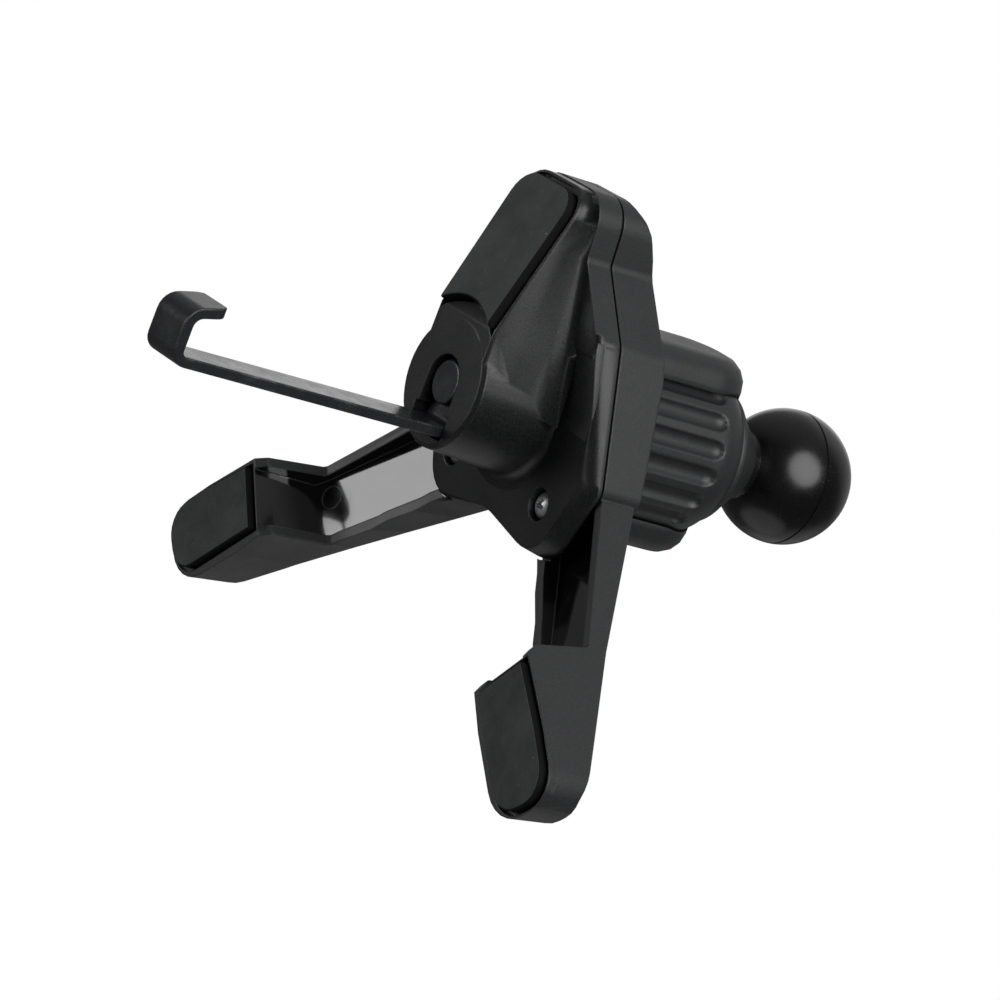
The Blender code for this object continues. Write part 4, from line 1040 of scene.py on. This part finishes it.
# Stage
def softbox(name, towards, half_angle, brightness):
    """A round lamp that fills a half angle, seen from the clip, with an even brightness."""
    light = bpy.data.lights.new(name, "AREA")
    light.shape = "DISK"
    light.size = 2 * LAMP_REACH * math.tan(math.radians(half_angle))
    light.energy = brightness * math.pi * math.pi * light.size ** 2 / 4
    lamp = bpy.data.objects.new(name, light)
    bpy.context.scene.collection.objects.link(lamp)
    turn = towards.to_track_quat("Z", "Y").to_matrix().to_4x4()
    lamp.matrix_world = Matrix.Translation(towards * LAMP_REACH) @ turn


def make_camera(scene):
    """The camera at the photograph's place."""
    camera = bpy.data.objects.new("camera", bpy.data.cameras.new("camera"))
    scene.collection.objects.link(camera)
    scene.camera = camera
    back = -LOOK
    right = Vector(CAMERA_UP).cross(back).normalized()
    turn = Matrix((right, back.cross(right), back)).transposed().to_4x4()
    camera.matrix_world = Matrix.Translation(CAMERA_PLACE) @ turn
    camera.data.lens = CAMERA_LENS
    camera.data.sensor_width = SENSOR_WIDTH
    camera.data.clip_start = NEAREST_SEEN
    camera.data.clip_end = FARTHEST_SEEN


def facing(tree, direction, towards, inner, outer, level):
    """Brightness of a soft patch of the sky: full within the inner angle, nothing beyond the outer one."""
    along = add(tree, "ShaderNodeVectorMath", {"operation": "DOT_PRODUCT", 1: towards}, {0: direction})
    ends = [math.cos(math.radians(angle)) for angle in (outer, inner)]
    return ramp(tree, along.outputs["Value"], *ends, 0.0, level, "SMOOTHSTEP")


def make_sky(scene):
    """A dim studio with a pale backdrop behind the clip; the camera sees white all round."""
    world = bpy.data.worlds.new("studio")
    scene.world = world
    world.use_nodes = True
    tree = world.node_tree
    tree.nodes.clear()
    direction = add(tree, "ShaderNodeTexCoord").outputs["Generated"]
    backdrop = facing(tree, direction, *BACKDROP)
    room = maths(tree, "MULTIPLY_ADD", backdrop, BACKDROP_SHARE, ROOM_LIGHT)
    for patch in (OVERHEAD, BESIDE, BELOW):
        room = maths(tree, "ADD", room, facing(tree, direction, *patch))
    # Metal and polished plastic mirror the white backdrop where it stands, behind the clip.
    ray = add(tree, "ShaderNodeLightPath").outputs
    mirrored = times(tree, ray["Is Glossy Ray"], backdrop)
    direct = maths(tree, "MAXIMUM", ray["Is Camera Ray"], ray["Is Transmission Ray"])
    strength = maths(tree, "MAXIMUM", maths(tree, "MAXIMUM", mirrored, direct), room)
    light = add(tree, "ShaderNodeBackground", {"Color": (1.0, 1.0, 1.0, 1.0)}, {"Strength": strength})
    add(tree, "ShaderNodeOutputWorld", None, {"Surface": light.outputs["Background"]})


def make_floor():
    """A plain pale floor well below the clip, which hangs free as it does on a vent."""
    bm = bmesh.new()
    bmesh.ops.create_circle(bm, cap_ends=True, segments=FLOOR_SIDES, radius=FLOOR_RADIUS)
    bmesh.ops.translate(bm, verts=bm.verts, vec=(0.0, 0.0, SOLID_BOX[0][2] - FLOOR_DROP))
    floor = new_piece(bm, "studio_floor", finish("paper"))


# Operators
class VENTCLIP_OT_housings(bpy.types.Operator):
    """Dress the front cover and the rear housing"""

    bl_idname = "ventclip.housings"
    bl_label = "Cover and Housing"

    def execute(self, context):
        make_housings()
        make_ejector_marks(context.scene.vent_clip_sizes)
        return {"FINISHED"}


class VENTCLIP_OT_pads(bpy.types.Operator):
    """Make the rubber pads of the finger and the feet"""

    bl_idname = "ventclip.pads"
    bl_label = "Rubber Pads"

    def execute(self, context):
        make_pads(context.scene.vent_clip_sizes)
        return {"FINISHED"}


class VENTCLIP_OT_hook(bpy.types.Operator):
    """Make the coated steel hook and its rivet"""

    bl_idname = "ventclip.hook"
    bl_label = "Hook and Rivet"

    def execute(self, context):
        make_hook(context.scene.vent_clip_sizes)
        return {"FINISHED"}


class VENTCLIP_OT_nut(bpy.types.Operator):
    """Make the fluted tightening nut"""

    bl_idname = "ventclip.nut"
    bl_label = "Tightening Nut"

    def execute(self, context):
        make_nut(context.scene.vent_clip_sizes)
        return {"FINISHED"}


class VENTCLIP_OT_rod(bpy.types.Operator):
    """Make the threaded rod, and finish the washer and the hexagon nut"""

    bl_idname = "ventclip.rod"
    bl_label = "Rod, Washer and Hexagon Nut"

    def execute(self, context):
        make_rod(context.scene.vent_clip_sizes)
        return {"FINISHED"}


class VENTCLIP_OT_ball(bpy.types.Operator):
    """Make the polished ball stud"""

    bl_idname = "ventclip.ball"
    bl_label = "Ball Stud"

    def execute(self, context):
        make_ball(context.scene.vent_clip_sizes)
        return {"FINISHED"}


class VENTCLIP_OT_screws(bpy.types.Operator):
    """Set the cross-head screws of the cover"""

    bl_idname = "ventclip.screws"
    bl_label = "Cover Screws"

    def execute(self, context):
        make_screws()
        return {"FINISHED"}


class VENTCLIP_OT_stage(bpy.types.Operator):
    """Set the floor, the lamps, the sky and the camera"""

    bl_idname = "ventclip.stage"
    bl_label = "Studio Stage"

    def execute(self, context):
        context.scene.view_settings.view_transform = "Standard"
        make_camera(context.scene)
        make_sky(context.scene)
        make_floor()
        softbox("key_softbox", KEY_FROM, KEY_HALF_ANGLE, KEY_BRIGHTNESS)
        softbox("fill_softbox", FILL_FROM, FILL_HALF_ANGLE, FILL_BRIGHTNESS)
        return {"FINISHED"}


PIECE_OPERATORS = (
    VENTCLIP_OT_housings,
    VENTCLIP_OT_pads,
    VENTCLIP_OT_hook,
    VENTCLIP_OT_nut,
    VENTCLIP_OT_rod,
    VENTCLIP_OT_ball,
    VENTCLIP_OT_screws,
    VENTCLIP_OT_stage,
)


class VENTCLIP_PT_sidebar(bpy.types.Panel):
    """Lists the clip's pieces, sizes and colours"""

    bl_idname = "VENTCLIP_PT_sidebar"
    bl_label = "Vent Hook Clip"
    bl_space_type = "VIEW_3D"
    bl_region_type = "UI"
    bl_category = "Vent Clip"

    def draw(self, context):
        column = self.layout.column()
        for operator in PIECE_OPERATORS:
            column.operator(operator.bl_idname)
        for settings in (context.scene.vent_clip_sizes, context.scene.vent_clip_colours):
            column.separator()
            for name in settings.__annotations__:
                column.prop(settings, name)


CLASSES = (VentClipSizes, VentClipColours) + PIECE_OPERATORS + (VENTCLIP_PT_sidebar,)


def register():
    for made in CLASSES:
        bpy.utils.register_class(made)
    bpy.types.Scene.vent_clip_sizes = PointerProperty(type=VentClipSizes)
    bpy.types.Scene.vent_clip_colours = PointerProperty(type=VentClipColours)


def unregister():
    del bpy.types.Scene.vent_clip_colours
    del bpy.types.Scene.vent_clip_sizes
    for made in reversed(CLASSES):
        bpy.utils.unregister_class(made)


def main():
    register()
    bpy.ops.ventclip.housings()
    bpy.ops.ventclip.pads()
    bpy.ops.ventclip.hook()
    bpy.ops.ventclip.nut()
    bpy.ops.ventclip.rod()
    bpy.ops.ventclip.ball()
    bpy.ops.ventclip.screws()
    bpy.ops.ventclip.stage()


if __name__ == "__main__":
    main()
